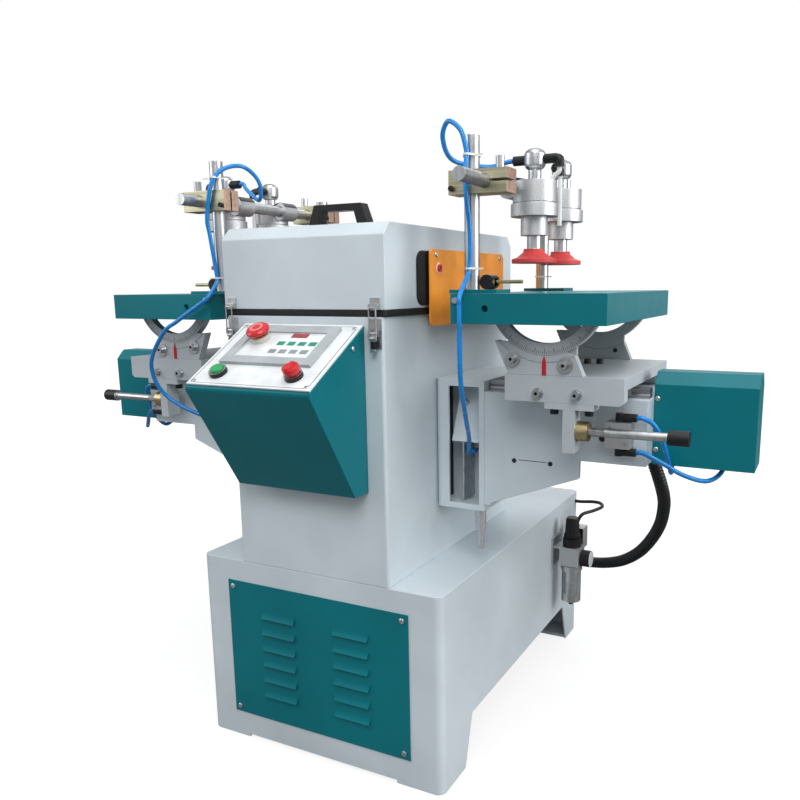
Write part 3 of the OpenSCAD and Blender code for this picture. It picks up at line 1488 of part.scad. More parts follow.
// One air cylinder: cast body with a clamp boss on the rod, swivel fitting and elbows
module air_cylinder(x, y, z, rod_x, elbow_angles) {
    top = z + cylinder_up;
    flange_z = z - flange_drop;
    nose_z = z - nose_drop;
    drum_z = top + neck_h;
    elbow_z = drum_z + drum_h / 2;
    color(cast_grey) difference() {
        union() {
            upright(x, y, z - groove_drop + groove_t, top, cylinder_r);
            upright(x, y, z - groove_drop, z - groove_drop + groove_t, cylinder_r - groove_t);
            upright(x, y, flange_z, z - groove_drop, flange_r);
            upright(x, y, nose_z, flange_z, nose_r);
            along_y(rod_x, y - boss_l / 2, y + boss_l / 2, z, boss_r);
            block([rod_x, y - boss_l / 2, z - boss_r / 2], [x, y + boss_l / 2, z + boss_r / 2]);
            upright(x, y, top, drum_z, neck_r);
            translate([x, y, drum_z]) rotate_extrude()
                polygon([for (p = drum_profile_shares) [p[0] * drum_r, p[1] * drum_h]]);
        }
        along_y(rod_x, y - boss_l, y + boss_l, z, rod_r + shaft_gap);
        upright(x, y, nose_z - overrun, flange_z + chamber_wall + overrun, piston_rod_r + shaft_gap);
        intersection() {
            upright(x, y, flange_z + chamber_wall, top - chamber_wall, chamber_r);
            block([rod_x + rod_r + chamber_wall, y - cylinder_r, flange_z], [x + cylinder_r, y + cylinder_r,
                top]);
        }
    }
    color(black) for (angle = elbow_angles) difference() {
        translate([x, y, elbow_z]) rotate([0, 0, angle]) along_x(0, drum_r + elbow_l, 0, 0, elbow_r);
        upright(x, y, drum_z, drum_z + drum_h, drum_r);
    }
}

module cylinders(left) {
    rod_x = table_x + post_inset + rod_shift;
    z = table_top + rod_rise;
    on_side(left) {
        air_cylinder(rod_x + cylinder_shift, table_y + front_cylinder_y, z, rod_x, [0, 180]);
        air_cylinder(rod_x + cylinder_shift, table_y + rear_cylinder_y, z, rod_x, [-90]);
    }
}

// Piston rod with its rubber pad
module pad(left, index) {
    x = table_x + post_inset + rod_shift + cylinder_shift;
    y = table_y + (index == 0 ? front_cylinder_y : rear_cylinder_y);
    z = table_top + rod_rise;
    z0 = z - pad_drop - pad_h;
    on_side(left) {
        color(steel) upright(x, y, z - pad_drop, z - flange_drop + chamber_wall, piston_rod_r);
        color(red) translate([x, y, z0]) rotate_extrude() polygon([[0, 0], [pad_r, 0], [pad_r, pad_lip],
            [(pad_r + pad_top_r) / 2, pad_lip * pad_slope_share], [pad_top_r, pad_h * pad_waist_share],
            [pad_top_r, pad_h], [0, pad_h]]);
    }
}

// Blue air tubes: those on the fixed body, the slack below each table, and the stretch on each post
module fixed_tubes() {
    from_front() {
        color(blue) both_sides() {
            tube(valve_top_route, tube_r);
            tube(valve_bottom_route, tube_r);
        }
        color(black) tube(regulator_route, tube_r);
    }
}

module lower_tube(left, bends) {
    color(blue) on_side(left) tube(from_spot(bed_corner, bends), tube_r);
}

module upper_tube(left, route) {
    color(blue) on_side(left) tube(route, tube_r);
}

base_cabinet();
louvre_panel();
column();
column_seal();
control_box();
control_panel();
display_unit();
button_bezels();
frame_screws();
side_casings();
beds();
guide_rails();
end_covers();
limit_valves();
feed_cylinders();
hood_mounts();
air_regulator();
conduit();
electrics_plate();
spindle_slide();
fixed_tubes();
hood();
side_guards();
hood_hardware();
latch_lever(latch_x);  // right_latch_lever
latch_lever(-latch_x);  // left_latch_lever
latch_bail(latch_x);  // right_latch_bail
latch_bail(-latch_x);  // left_latch_bail
estop_button();
start_button();
stop_button();
regulator_knob();
spindle_head();
cutter_head();
carriage(false);  // right_carriage
carriage(true);  // left_carriage
carriage_hardware(false);  // right_carriage_hardware
carriage_hardware(true);  // left_carriage_hardware
cradles(false);  // right_cradles
cradles(true);  // left_cradles
feed_handle(false);  // right_feed_handle
feed_handle(true);  // left_feed_handle
table(false);  // right_table
table(true);  // left_table
trunnions(false);  // right_trunnions
trunnions(true);  // left_trunnions
post_set(false);  // right_post_set
post_set(true);  // left_post_set
holddown(false);  // right_holddown
holddown(true);  // left_holddown
cylinders(false);  // right_cylinders
cylinders(true);  // left_cylinders
pad(false, 0);  // right_front_pad
pad(true, 0);  // left_front_pad
pad(false, 1);  // right_rear_pad
pad(true, 1);  // left_rear_pad
lower_tube(false, right_lower_bends);  // right_lower_tube
lower_tube(true, left_lower_bends);  // left_lower_tube
upper_tube(false, right_upper_route);  // right_upper_tube
upper_tube(true, left_upper_route);  // left_upper_tube
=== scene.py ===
"""Finishes and fine pieces of a double-station tenoning machine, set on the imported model."""
import json
import math

import bmesh
import bpy
from mathutils import Matrix, Vector
from mathutils.geometry import convex_hull_2d


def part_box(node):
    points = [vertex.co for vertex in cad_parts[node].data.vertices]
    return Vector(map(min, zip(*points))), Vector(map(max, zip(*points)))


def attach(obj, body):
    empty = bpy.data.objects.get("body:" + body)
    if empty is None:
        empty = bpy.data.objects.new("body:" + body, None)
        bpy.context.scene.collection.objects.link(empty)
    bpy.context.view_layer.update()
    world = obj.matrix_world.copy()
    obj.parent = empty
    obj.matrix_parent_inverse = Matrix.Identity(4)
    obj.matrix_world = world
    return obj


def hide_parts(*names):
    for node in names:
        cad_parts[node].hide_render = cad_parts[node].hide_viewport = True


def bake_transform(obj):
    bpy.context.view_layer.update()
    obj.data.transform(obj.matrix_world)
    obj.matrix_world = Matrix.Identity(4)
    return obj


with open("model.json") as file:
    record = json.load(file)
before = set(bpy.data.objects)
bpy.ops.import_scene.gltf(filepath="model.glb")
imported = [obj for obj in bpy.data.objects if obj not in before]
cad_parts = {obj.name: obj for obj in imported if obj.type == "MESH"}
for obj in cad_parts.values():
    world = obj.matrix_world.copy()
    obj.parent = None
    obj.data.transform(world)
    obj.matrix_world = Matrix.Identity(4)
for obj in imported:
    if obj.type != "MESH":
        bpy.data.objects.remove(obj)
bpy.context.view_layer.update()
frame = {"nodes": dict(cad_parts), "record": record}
NODES = frame["nodes"]
BODY_OF = {node: body for body, nodes in frame["record"]["behaviour"]["bodies"].items() for node in nodes}
SIDES = (("right", 1), ("left", -1))

# Lengths are millimetres, measured right of the middle, behind the base's front and above the floor
MM = 0.001
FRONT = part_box("base_cabinet")[0].y
BED_TOP = 690
TABLE_TOP = 863
PIVOT_X = 398
ROD_HEIGHT = 1038
POST_X = 268
POST_RADIUS = 12.5
POSTS_Y = (110, 450)
CYLINDERS_Y = (211, 353)
HOOD_TOP = 977
GUARD_FACE = 178
TO_FRONT = (0, -1, 0)


def place(x, y, z):
    """A point given in machine millimetres, in the frame's metres."""
    return Vector((x * MM, FRONT + y * MM, z * MM))


def measured(point):
    """A point of the frame, in machine millimetres."""
    return point.x / MM, (point.y - FRONT) / MM, point.z / MM


# Camera, solved from the straight edges of the photograph
FARTHEST = 60
IMAGE_PX = 800
SENSOR = 36
FOCAL_PX = 773.9
CENTRE_PX = (447.7, 429.5)
CAMERA_AT = (811.8, -1071.9, 876.1)
CAMERA_YAW = 0.4640
CAMERA_PITCH = 0.1842
CAMERA_ROLL = -0.0088


def make_camera():
    """The camera of the photo, off its middle and with a slight roll."""
    data = bpy.data.cameras.new("camera")
    data.sensor_width = SENSOR
    data.lens = FOCAL_PX / IMAGE_PX * SENSOR
    data.shift_x = 0.5 - CENTRE_PX[0] / IMAGE_PX
    data.shift_y = CENTRE_PX[1] / IMAGE_PX - 0.5
    data.clip_end = FARTHEST
    look = Vector((-math.sin(CAMERA_YAW) * math.cos(CAMERA_PITCH),
                   math.cos(CAMERA_YAW) * math.cos(CAMERA_PITCH), -math.sin(CAMERA_PITCH)))
    level = Vector((math.cos(CAMERA_YAW), math.sin(CAMERA_YAW), 0))
    upright = level.cross(look)
    across = math.cos(CAMERA_ROLL) * level + math.sin(CAMERA_ROLL) * upright
    up = math.cos(CAMERA_ROLL) * upright - math.sin(CAMERA_ROLL) * level
    camera = bpy.data.objects.new("camera", data)
    bpy.context.scene.collection.objects.link(camera)
    camera.matrix_world = (Matrix.Translation(place(*CAMERA_AT))
                           @ Matrix((across, up, -look)).transposed().to_4x4())
    bpy.context.scene.camera = camera


# Finishes
COAT_ROUGHNESS = 0.15


def wire(tree, node, **inputs):
    """Sets a node's inputs, with a link where the value is another node's output."""
    for name, value in inputs.items():
        socket = node.inputs[name.replace("_", " ")]
        if isinstance(value, bpy.types.NodeSocket):
            tree.links.new(value, socket)
        else:
            socket.default_value = value
    return node


def add_node(tree, kind, **inputs):
    """A new node with its inputs set."""
    return wire(tree, tree.nodes.new(kind), **inputs)


def new_material(name, roughness, metallic=0.0, coat=0.0, gloss=0.5):
    """A material with its shader, and the object coordinates that its patterns follow."""
    material = bpy.data.materials.new(name)
    material.use_nodes = True
    tree = material.node_tree
    shader = wire(tree, tree.nodes["Principled BSDF"], Roughness=roughness, Metallic=metallic,
                  Specular_IOR_Level=gloss, Coat_Weight=coat, Coat_Roughness=COAT_ROUGHNESS)
    coordinates = tree.nodes.new("ShaderNodeTexCoord")
    return material, tree, shader, coordinates.outputs["Object"]


def noise(tree, coordinates, scale, detail=3.0, stretch=(1, 1, 1)):
    """A noise pattern, stretched along the axes where stretch is small."""
    mapping = add_node(tree, "ShaderNodeMapping", Vector=coordinates, Scale=stretch)
    texture = add_node(tree, "ShaderNodeTexNoise", Vector=mapping.outputs["Vector"], Scale=scale, Detail=detail)
    return texture.outputs["Fac"]


def tint(tree, pattern, dark, light, low=0.35, high=0.65):
    """A colour that runs from dark to light as the pattern rises."""
    ramp = add_node(tree, "ShaderNodeValToRGB", Fac=pattern)
    for element, position, colour in zip(ramp.color_ramp.elements, (low, high), (dark, light)):
        element.position = position
        element.color = (*colour, 1)
    return ramp.outputs["Color"]


def shaded(colour, share, lift=0.0):
    """A colour made darker or lighter by a share."""
    return [min(c * share + lift, 1) for c in colour]


def vary_roughness(tree, shader, pattern, roughness, glossier, duller):
    """Lets the roughness follow a pattern."""
    span = add_node(tree, "ShaderNodeMapRange", Value=pattern, To_Min=roughness - glossier,
                    To_Max=roughness + duller)
    wire(tree, shader, Roughness=span.outputs["Result"])


def raise_bump(tree, shader, pattern, depth, strength):
    """Raises a pattern as a fine relief, its depth in millimetres."""
    bump = add_node(tree, "ShaderNodeBump", Height=pattern, Distance=depth * MM, Strength=strength)
    wire(tree, shader, Normal=bump.outputs["Normal"])


def paint(name, colour, roughness=0.38, coat=0.25, peel=0.10, gloss=0.5):
    """Sprayed enamel: slow drifts of shade, uneven gloss and a fine orange peel."""
    material, tree, shader, where = new_material(name, roughness, coat=coat, gloss=gloss)
    drift_scale, gloss_scale, peel_scale, peel_depth = 4.5, 22, 420, 0.25
    dark, light = shaded(colour, 0.90), shaded(colour, 1.06)
    wire(tree, shader, Base_Color=tint(tree, noise(tree, where, drift_scale, 4), dark, light))
    vary_roughness(tree, shader, noise(tree, where, gloss_scale, 5), roughness, glossier=0.07, duller=0.10)
    raise_bump(tree, shader, noise(tree, where, peel_scale, 2), peel_depth, peel)
    return material


def machined(name, colour, roughness=0.28, stretch=(1, 1, 1), scale=260, depth=0.12):
    """Bare metal, darker at grazing angles, with tool marks along the axes where stretch is small."""
    material, tree, shader, where = new_material(name, roughness, metallic=1.0)
    grazing_tint, handling_scale, mark_strength = (0.42, 0.43, 0.45, 1), 30, 0.18
    marks = noise(tree, where, scale, 4, stretch)
    dark = shaded(colour, 0.72)
    wire(tree, shader, Specular_Tint=grazing_tint, Base_Color=tint(tree, marks, dark, colour, 0.3, 0.6))
    vary_roughness(tree, shader, noise(tree, where, handling_scale, 4), roughness, glossier=0.08, duller=0.16)
    raise_bump(tree, shader, marks, depth, mark_strength)
    return material


def moulded(name, colour, roughness=0.45, grain=600, depth=0.12, coat=0.0, gloss=0.35):
    """Moulded plastic or rubber with a fine grain and a faint bloom."""
    material, tree, shader, where = new_material(name, roughness, coat=coat, gloss=gloss)
    bloom_scale, gloss_scale, grain_strength = 35, 60, 0.22
    dark, light = shaded(colour, 0.91), shaded(colour, 1.05, 0.002)
    wire(tree, shader, Base_Color=tint(tree, noise(tree, where, bloom_scale, 4), dark, light))
    vary_roughness(tree, shader, noise(tree, where, gloss_scale, 4), roughness, glossier=0.08, duller=0.10)
    raise_bump(tree, shader, noise(tree, where, grain, 2), depth, grain_strength)
    return material


def lit_window(name, colour, strength):
    """A window with light behind it, brighter in fine bands."""
    material, tree, shader, where = new_material(name, 0.2, coat=0.6)
    band_scale = 300
    shade = tint(tree, noise(tree, where, band_scale, 2), shaded(colour, 0.55), colour)
    wire(tree, shader, Base_Color=shade, Emission_Color=shade, Emission_Strength=strength)
    return material


body_paint = paint("body_paint", (0.60, 0.67, 0.715))
teal_paint = paint("teal_paint", (0.001, 0.165, 0.200), roughness=0.36, coat=0.1, gloss=0.2)
casting_paint = paint("casting_paint", (0.47, 0.51, 0.54), roughness=0.46, coat=0.1, peel=0.3)
orange_sheet = moulded("orange_sheet", (1.0, 0.34, 0.032), roughness=0.36, coat=0.1, gloss=0.25)
ground_steel = machined("ground_steel", (0.68, 0.69, 0.70), stretch=(1, 1, 0.02))
plated_steel = machined("plated_steel", (0.66, 0.67, 0.68), roughness=0.30, scale=90)
rail_steel = machined("rail_steel", (0.50, 0.51, 0.52), stretch=(0.02, 1, 1))
blasted_alloy = machined("blasted_alloy", (0.68, 0.69, 0.70), roughness=0.45, scale=700, depth=0.3)
zinc_bar = machined("zinc_bar", (0.64, 0.60, 0.42), roughness=0.36, stretch=(0.05, 1, 1))
bar_end = machined("bar_end", (0.74, 0.50, 0.39), roughness=0.42, scale=150)
gold_nut = machined("gold_nut", (0.58, 0.47, 0.26), roughness=0.30, scale=120)
black_plastic = moulded("black_plastic", (0.010, 0.010, 0.011), roughness=0.42)
# Black rubber, and also painted shade on the strip in each casing mouth
black_rubber = moulded("black_rubber", (0.010, 0.010, 0.011), roughness=0.62, grain=350, depth=0.2)
pad_rubber = moulded("pad_rubber", (0.60, 0.060, 0.060), roughness=0.50, grain=300, depth=0.2)
white_film = moulded("white_film", (0.76, 0.79, 0.80), roughness=0.38, coat=0.1)
grey_bezel = moulded("grey_bezel", (0.40, 0.43, 0.45), roughness=0.40)
white_nylon = moulded("white_nylon", (0.78, 0.79, 0.78), roughness=0.42)
pale_collar = moulded("pale_collar", (0.62, 0.60, 0.52), roughness=0.35, coat=0.3)
red_plastic = moulded("red_plastic", (0.56, 0.012, 0.018), roughness=0.30, coat=0.4)
pale_red = moulded("pale_red", (0.72, 0.22, 0.20), roughness=0.40)
green_plastic = moulded("green_plastic", (0.02, 0.33, 0.10), roughness=0.30, coat=0.4)
key_green = moulded("key_green", (0.02, 0.26, 0.17), roughness=0.40)
# Grey of the display's keys, and also painted shade in the regulator bowl's slots
key_grey_and_slot_shade = moulded("key_grey_and_slot_shade", (0.26, 0.29, 0.31), roughness=0.40)
# Black for printed lines and ticks, and also painted shade in screw sockets, the bed's holes and its groove
print_and_shade_black = moulded("print_and_shade_black", (0.018, 0.02, 0.022), roughness=0.5)
blue_tube = moulded("blue_tube", (0.006, 0.23, 0.64), roughness=0.25, coat=0.25)
readout_red = lit_window("readout_red", (0.40, 0.02, 0.03), 0.15)


# Meshes
CREASE_ANGLE = 34
SHARP_ANGLE = 38
FLAT_ANGLE = 0.4
MERGE = 0.01


def shown(name, mesh, materials):
    """A new piece from a finished mesh."""
    for material in materials:
        mesh.materials.append(material)
    piece = bpy.data.objects.new(name, mesh)
    bpy.context.scene.collection.objects.link(piece)
    return piece


def fitted(name, mesh, material, body):
    """A small piece that rides on a body."""
    piece = shown(name, mesh, [material])
    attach(piece, body)
    return piece


def smoothed(mesh, angle=CREASE_ANGLE):
    """Shades a mesh round, with creases where its faces turn sharply. Large flat faces stay flat beside
    their broken edges, because each face counts by its area."""
    mesh.polygons.foreach_set("use_smooth", [True] * len(mesh.polygons))
    mesh.set_sharp_from_angle(angle=math.radians(angle))
    mesh.update()
    faces_at = [[] for _ in mesh.vertices]
    for face in mesh.polygons:
        for index in face.vertices:
            faces_at[index].append((face.normal.copy(), face.area))
    least_match = math.cos(math.radians(angle))
    normals = []
    for face in mesh.polygons:
        for index in face.vertices:
            weighed = Vector((0, 0, 0))
            for normal, area in faces_at[index]:
                if normal.dot(face.normal) > least_match:
                    weighed += normal * area
            normals.append(weighed.normalized() if weighed.length > 0 else face.normal.copy())
    mesh.normals_split_custom_set(normals)


def mesh_of(name, bm, angle=CREASE_ANGLE):
    """A mesh of edited faces, all turned outward."""
    bmesh.ops.recalc_face_normals(bm, faces=bm.faces)
    mesh = bpy.data.meshes.new(name)
    bm.to_mesh(mesh)
    bm.free()
    smoothed(mesh, angle)
    return mesh


def dressed(node, materials, edge=0.0, choose=None):
    """Stands for a CAD node: its own shape with broken edges, and a finish chosen for each of its faces."""
    bm = bmesh.new()
    bm.from_mesh(NODES[node].data)
    bmesh.ops.remove_doubles(bm, verts=bm.verts, dist=MERGE * MM)
    bmesh.ops.dissolve_limit(bm, angle_limit=math.radians(FLAT_ANGLE), verts=bm.verts, edges=bm.edges)
    if choose:
        for face in bm.faces:
            face.material_index = choose(*measured(face.calc_center_median()), face.normal)
    if edge:
        sharp = [e for e in bm.edges if e.is_manifold and e.calc_face_angle(0) > math.radians(SHARP_ANGLE)]
        bmesh.ops.bevel(bm, geom=sharp, offset=edge * MM, segments=2, profile=0.5, affect="EDGES",
                        clamp_overlap=False, material=-1)
    mesh = bpy.data.meshes.new(node + "_finish")
    bm.to_mesh(mesh)
    bm.free()
    smoothed(mesh)
    piece = shown(node + "_finish", mesh, materials)
    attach(piece, BODY_OF[node])
    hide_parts(node)


def circle(count):
    """Points spaced evenly round a circle of radius one."""
    return [(math.cos(2 * math.pi * k / count), math.sin(2 * math.pi * k / count)) for k in range(count)]


def join_rings(bm, rings, segments):
    """Faces between neighbouring rings of points. A ring may be one single point."""
    for low, high in zip(rings, rings[1:]):
        for k in range(segments):
            after = (k + 1) % segments
            corners = [low[k % len(low)], low[after % len(low)], high[after % len(high)], high[k % len(high)]]
            bm.faces.new(list(dict.fromkeys(corners)))


def turned(name, profile, segments=48):
    """A mesh turned about +Z from points of radius and height, in millimetres."""
    bm = bmesh.new()
    rings = []
    for radius, height in profile:
        if radius <= 0:
            rings.append([bm.verts.new((0, 0, height * MM))])
        else:
            rings.append([bm.verts.new((radius * MM * x, radius * MM * y, height * MM))
                          for x, y in circle(segments)])
    join_rings(bm, rings, segments)
    return mesh_of(name, bm)


def box_mesh(name, low, high, edge=0.0):
    """A box between two corners in metres, with broken edges."""
    bm = bmesh.new()
    bmesh.ops.create_cube(bm, size=1)
    size = Vector(high) - Vector(low)
    middle = (Vector(high) + Vector(low)) / 2
    bmesh.ops.transform(bm, verts=bm.verts, matrix=Matrix.Translation(middle) @ Matrix.Diagonal((*size, 1)))
    if edge:
        bmesh.ops.bevel(bm, geom=bm.edges, offset=edge * MM, segments=2, profile=0.5, affect="EDGES")
    return mesh_of(name, bm)


def screw_head(name, radius, height, recess):
    """A screw head on +Z with a cross or a hexagon sunk in its top."""
    bm = bmesh.new()
    segments, steps, crease = 36, 9, 28
    cross_reach, cross_half, dome = 0.6, 0.13, 0.75
    socket_half, flat_to, rim_rise, sunk_share = 0.48, 0.93, 0.93, 0.45
    lean_x, lean_y = 0.5, 0.866
    rings = [[bm.verts.new((0, 0, 0))]]
    for step in range(1, steps + 1):
        share = step / steps
        rings.append([bm.verts.new((share * x * radius * MM, share * y * radius * MM, 0))
                      for x, y in circle(segments)])
    for vert in bm.verts:
        x, y = vert.co.x / (radius * MM), vert.co.y / (radius * MM)
        share = math.hypot(x, y)
        if recess == "cross":
            sunk = share < cross_reach and min(abs(x), abs(y)) < cross_half
            rise = height * math.sqrt(max(1 - dome * share * share, 0))
        else:
            sunk = max(abs(x), abs(lean_x * x + lean_y * y), abs(lean_x * x - lean_y * y)) < socket_half
            rise = height * (1 if share < flat_to else rim_rise)
        vert.co.z = (rise - (sunk_share * height if sunk else 0)) * MM
    rings.append([bm.verts.new((v.co.x, v.co.y, 0)) for v in rings[-1]])
    join_rings(bm, rings, segments)
    return mesh_of(name, bm, crease)


# One piece set on many spots
def spread_tree():
    """Nodes that put a piece on each point and make plain faces of the lot."""
    tree = bpy.data.node_groups.new("spread_pieces", "GeometryNodeTree")
    for name, way, kind in (("Spots", "INPUT", "Geometry"), ("Piece", "INPUT", "Object"),
                            ("Pieces", "OUTPUT", "Geometry")):
        tree.interface.new_socket(name, in_out=way, socket_type="NodeSocket" + kind)
    start = tree.nodes.new("NodeGroupInput")
    turn = tree.nodes.new("GeometryNodeInputNamedAttribute")
    turn.data_type = "FLOAT_VECTOR"
    wire(tree, turn, Name="turn")
    piece = add_node(tree, "GeometryNodeObjectInfo", Object=start.outputs["Piece"])
    instances = add_node(tree, "GeometryNodeInstanceOnPoints", Points=start.outputs["Spots"],
                         Instance=piece.outputs["Geometry"], Rotation=turn.outputs["Attribute"])
    real = add_node(tree, "GeometryNodeRealizeInstances", Geometry=instances.outputs["Instances"])
    add_node(tree, "NodeGroupOutput", Pieces=real.outputs["Geometry"])
    return tree


SPREAD = spread_tree()
PIECE_INPUT = next(item.identifier for item in SPREAD.interface.items_tree if item.name == "Piece")


def spread(name, spots, template, material, body):
    """One plain mesh of a template set on spots, each a point and the turn of the piece there."""
    crease = 30
    mesh = bpy.data.meshes.new(name + "_spots")
    mesh.from_pydata([spot for spot, _ in spots], [], [])
    turns = mesh.attributes.new("turn", "FLOAT_VECTOR", "POINT")
    turns.data.foreach_set("vector", [value for _, turn in spots for value in turn])
    holder = shown(name + "_spots", mesh, [])
    pattern = shown(name + "_pattern", template, [])
    modifier = holder.modifiers.new("spread", "NODES")
    modifier.node_group = SPREAD
    modifier[PIECE_INPUT] = pattern
    ready = holder.evaluated_get(bpy.context.evaluated_depsgraph_get())
    result = bpy.data.meshes.new_from_object(ready)
    result.name = name
    result.materials.clear()
    bpy.data.objects.remove(holder)
    bpy.data.objects.remove(pattern)
    smoothed(result, crease)
    return fitted(name, result, material, body)


def facing(direction, twist=0.0):
    """The turn that points a piece's +Z along a direction."""
    turn = Vector(direction).to_track_quat("Z", "Y").to_matrix() @ Matrix.Rotation(twist, 3, "Z")
    return tuple(turn.to_euler())


def bolted(name, spots, radius, height, recess, material, body):
    """Screw heads of one kind, set on spots."""
    return spread(name, spots, screw_head(name + "_head", radius, height, recess), material, body)


def small_box(name, sign, spans, edge, material, body):
    """A small box on one side of the machine, given as its spans right of the middle, back and up."""
    (x0, x1), (y0, y1), (z0, z1) = spans
    low, high = sorted((sign * x0, sign * x1))
    fitted(name, box_mesh(name, place(low, y0, z0), place(high, y1, z1), edge), material, body)


# Air tubes and the conduit
TUBE_RADIUS = 4
TUBE_SIDES = 14
# Routes of the tubes, from port to port. Each station has a slack, a post and a loop stretch.
STATION_ROUTES = {
    "right": (
        [(226, 242.7, 572), (226, 205, 573), (226, 183, 575), (243, 150, 606), (264, 90, 660),
         (275, 49, 724), (277, 41, 800), (277, 41, 845)],
        [(277, 41, 845.5), (277, 41, 857), (275, 61, 876), (272, 88, 897), (273, 92, 930), (272, 91, 972),
         (270, 84, 1013), (269, 84, 1053), (269, 89, 1082)],
        [(269, 89, 1082), (259, 88, 1116), (234, 94, 1133), (219, 104, 1110), (227, 126, 1078),
         (264, 182, 1072), (290, 211, 1082), (299.2, 211, 1082)]),
    "left": (
        [(-226, 242.7, 572), (-226, 205, 573), (-226, 183, 575), (-248, 150, 586), (-348, 100, 622),
         (-408, 70, 666), (-411, 48, 727), (-362, 38, 789), (-324, 38, 812), (-285, 40, 834)],
        [(-284.4, 40, 834.3), (-268.5, 41, 843), (-249, 45, 856), (-248, 65, 877), (-263, 90, 889),
         (-267, 92, 908), (-274, 89, 973), (-275, 85, 1005), (-264, 84, 1055)],
        [(-264, 84, 1055), (-256, 90, 1079), (-241, 106, 1097), (-224, 131, 1102), (-220, 161, 1090),
         (-220, 178, 1070), (-238, 194, 1046), (-280, 209, 1070), (-290, 211, 1082), (-299.2, 211, 1082)])}
VALVE_TOP_ROUTE = [(535.8, 162, 663), (546, 162, 663), (562, 168, 652), (574, 184, 622), (580, 206, 584),
                   (580, 232, 562), (577, 254, 572), (576, 262, 600), (576, 262, 611.7)]
VALVE_BOTTOM_ROUTE = [(535.8, 162, 606), (548, 162, 606), (576, 180, 588), (606, 204, 566), (638, 230, 554),
                      (658, 252, 566), (662, 262, 595), (662, 262, 611.7)]
REGULATOR_ROUTE = [(300, 631, 316.3), (300, 631, 326.3), (308, 642, 342.3), (327, 669, 346.3),
                   (338, 702, 348.3), (326, 730, 348.3), (305, 739, 347.3), (275, 739, 344.3),
                   (260.3, 739, 344.3)]
CONDUIT_ROUTE = [(505, 385, 660), (505, 385, 630), (506, 387, 600), (512, 389, 562), (529, 405, 502),
                 (531, 440, 461), (526, 472, 428), (513, 510, 383), (488, 550, 334), (451, 600, 283),
                 (403, 650, 240), (352, 690, 213), (312, 706, 203), (292, 708, 202), (274, 708, 202)]
CONDUIT_RADIUS = 13
CONDUIT_VALLEY = 11.2
CONDUIT_RIBS = 104
LINE_STEPS = 8
CORD_POINTS = 30


def smooth_line(route):
    """Points of the frame along a smooth curve through a route."""
    points = [place(*point) for point in route]
    line = []
    last = len(points) - 1
    for i in range(last):
        a, b = points[max(i - 1, 0)], points[i]
        c, d = points[i + 1], points[min(i + 2, last)]
        for step in range(LINE_STEPS):
            t = step / LINE_STEPS
            line.append((2 * b + (c - a) * t + (2 * a - 5 * b + 4 * c - d) * t * t
                         + (3 * b - a - 3 * c + d) * t ** 3) / 2)
    line.append(points[last])
    return line


def line_length(line):
    return sum((b - a).length for a, b in zip(line, line[1:]))


def even_line(line, count):
    """The same line as a number of evenly spaced points."""
    total = line_length(line)
    spots, walked, index = [line[0].copy()], 0.0, 0
    for k in range(1, count):
        goal = total * k / count
        while walked + (line[index + 1] - line[index]).length < goal:
            walked += (line[index + 1] - line[index]).length
            index += 1
        step = line[index + 1] - line[index]
        spots.append(line[index] + step * ((goal - walked) / step.length))
    spots.append(line[-1].copy())
    return spots


def tube_mesh(name, line, radii, sides):
    """A closed round tube along a line, with a radius for each of its points."""
    crease, steep = 60, 0.8
    bm = bmesh.new()
    side = Vector((0, 0, 1)) if abs((line[1] - line[0]).normalized().z) < steep else Vector((1, 0, 0))
    rings = []
    for i, spot in enumerate(line):
        along = (line[min(i + 1, len(line) - 1)] - line[max(i - 1, 0)]).normalized()
        side = (side - side.dot(along) * along).normalized()
        other = along.cross(side)
        rings.append([bm.verts.new(spot + radii[i] * (x * side + y * other)) for x, y in circle(sides)])
    join_rings(bm, rings, sides)
    bm.faces.new(rings[0])
    bm.faces.new(rings[-1])
    return mesh_of(name, bm, crease)


def declare(line):
    """Spaces points evenly along a cord's line, and keeps none of them."""
    path = even_line(line, CORD_POINTS)


def air_tube(name, route, node, material=blue_tube):
    """A plain tube along a route, in place of its CAD node."""
    line = smooth_line(route)
    piece = shown(name, tube_mesh(name, line, [TUBE_RADIUS * MM] * len(line), TUBE_SIDES), [material])
    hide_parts(node)
    declare(line)
    return piece


def mirrored(route, sign):
    """A route of the right side, or its mirror image."""
    return [(sign * x, y, z) for x, y, z in route]


def make_tubes():
    """Every air tube: those on the fixed body, then the slack, post and loop stretches of each station."""
    for side, sign in SIDES:
        for name, route in (("_valve_top_tube", VALVE_TOP_ROUTE), ("_valve_bottom_tube", VALVE_BOTTOM_ROUTE)):
            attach(air_tube(side + name, mirrored(route, sign), "fixed_tubes"), "frame")
        lower, post, loop = STATION_ROUTES[side]
        slack = air_tube(side + "_slack_tube", lower, side + "_lower_tube")
        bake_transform(slack)
        rise = air_tube(side + "_post_tube", post, side + "_upper_tube")
        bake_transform(rise)
        over = air_tube(side + "_loop_tube", loop, side + "_upper_tube")
        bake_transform(over)
    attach(air_tube("regulator_tube", REGULATOR_ROUTE, "fixed_tubes", black_plastic), "frame")


def make_conduit():
    """Ribbed conduit whose ridges and valleys run its whole length."""
    rib_wave, sides = (1, 0.8, -1, -0.8), 20
    rings_per_rib = len(rib_wave)
    line = even_line(smooth_line(CONDUIT_ROUTE), CONDUIT_RIBS * rings_per_rib)
    middle = (CONDUIT_RADIUS + CONDUIT_VALLEY) / 2
    wave = (CONDUIT_RADIUS - CONDUIT_VALLEY) / 2
    radii = [(middle + wave * rib_wave[i % rings_per_rib]) * MM for i in range(len(line))]
    piece = shown("ribbed_conduit", tube_mesh("ribbed_conduit", line, radii, sides), [black_plastic])
    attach(piece, "frame")
    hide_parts("conduit")
    declare(line)


# Cabinet, column and hood
LATCH_SLEEVE = ((143, 153), (-11.2, -4.8), (776, 788.5))


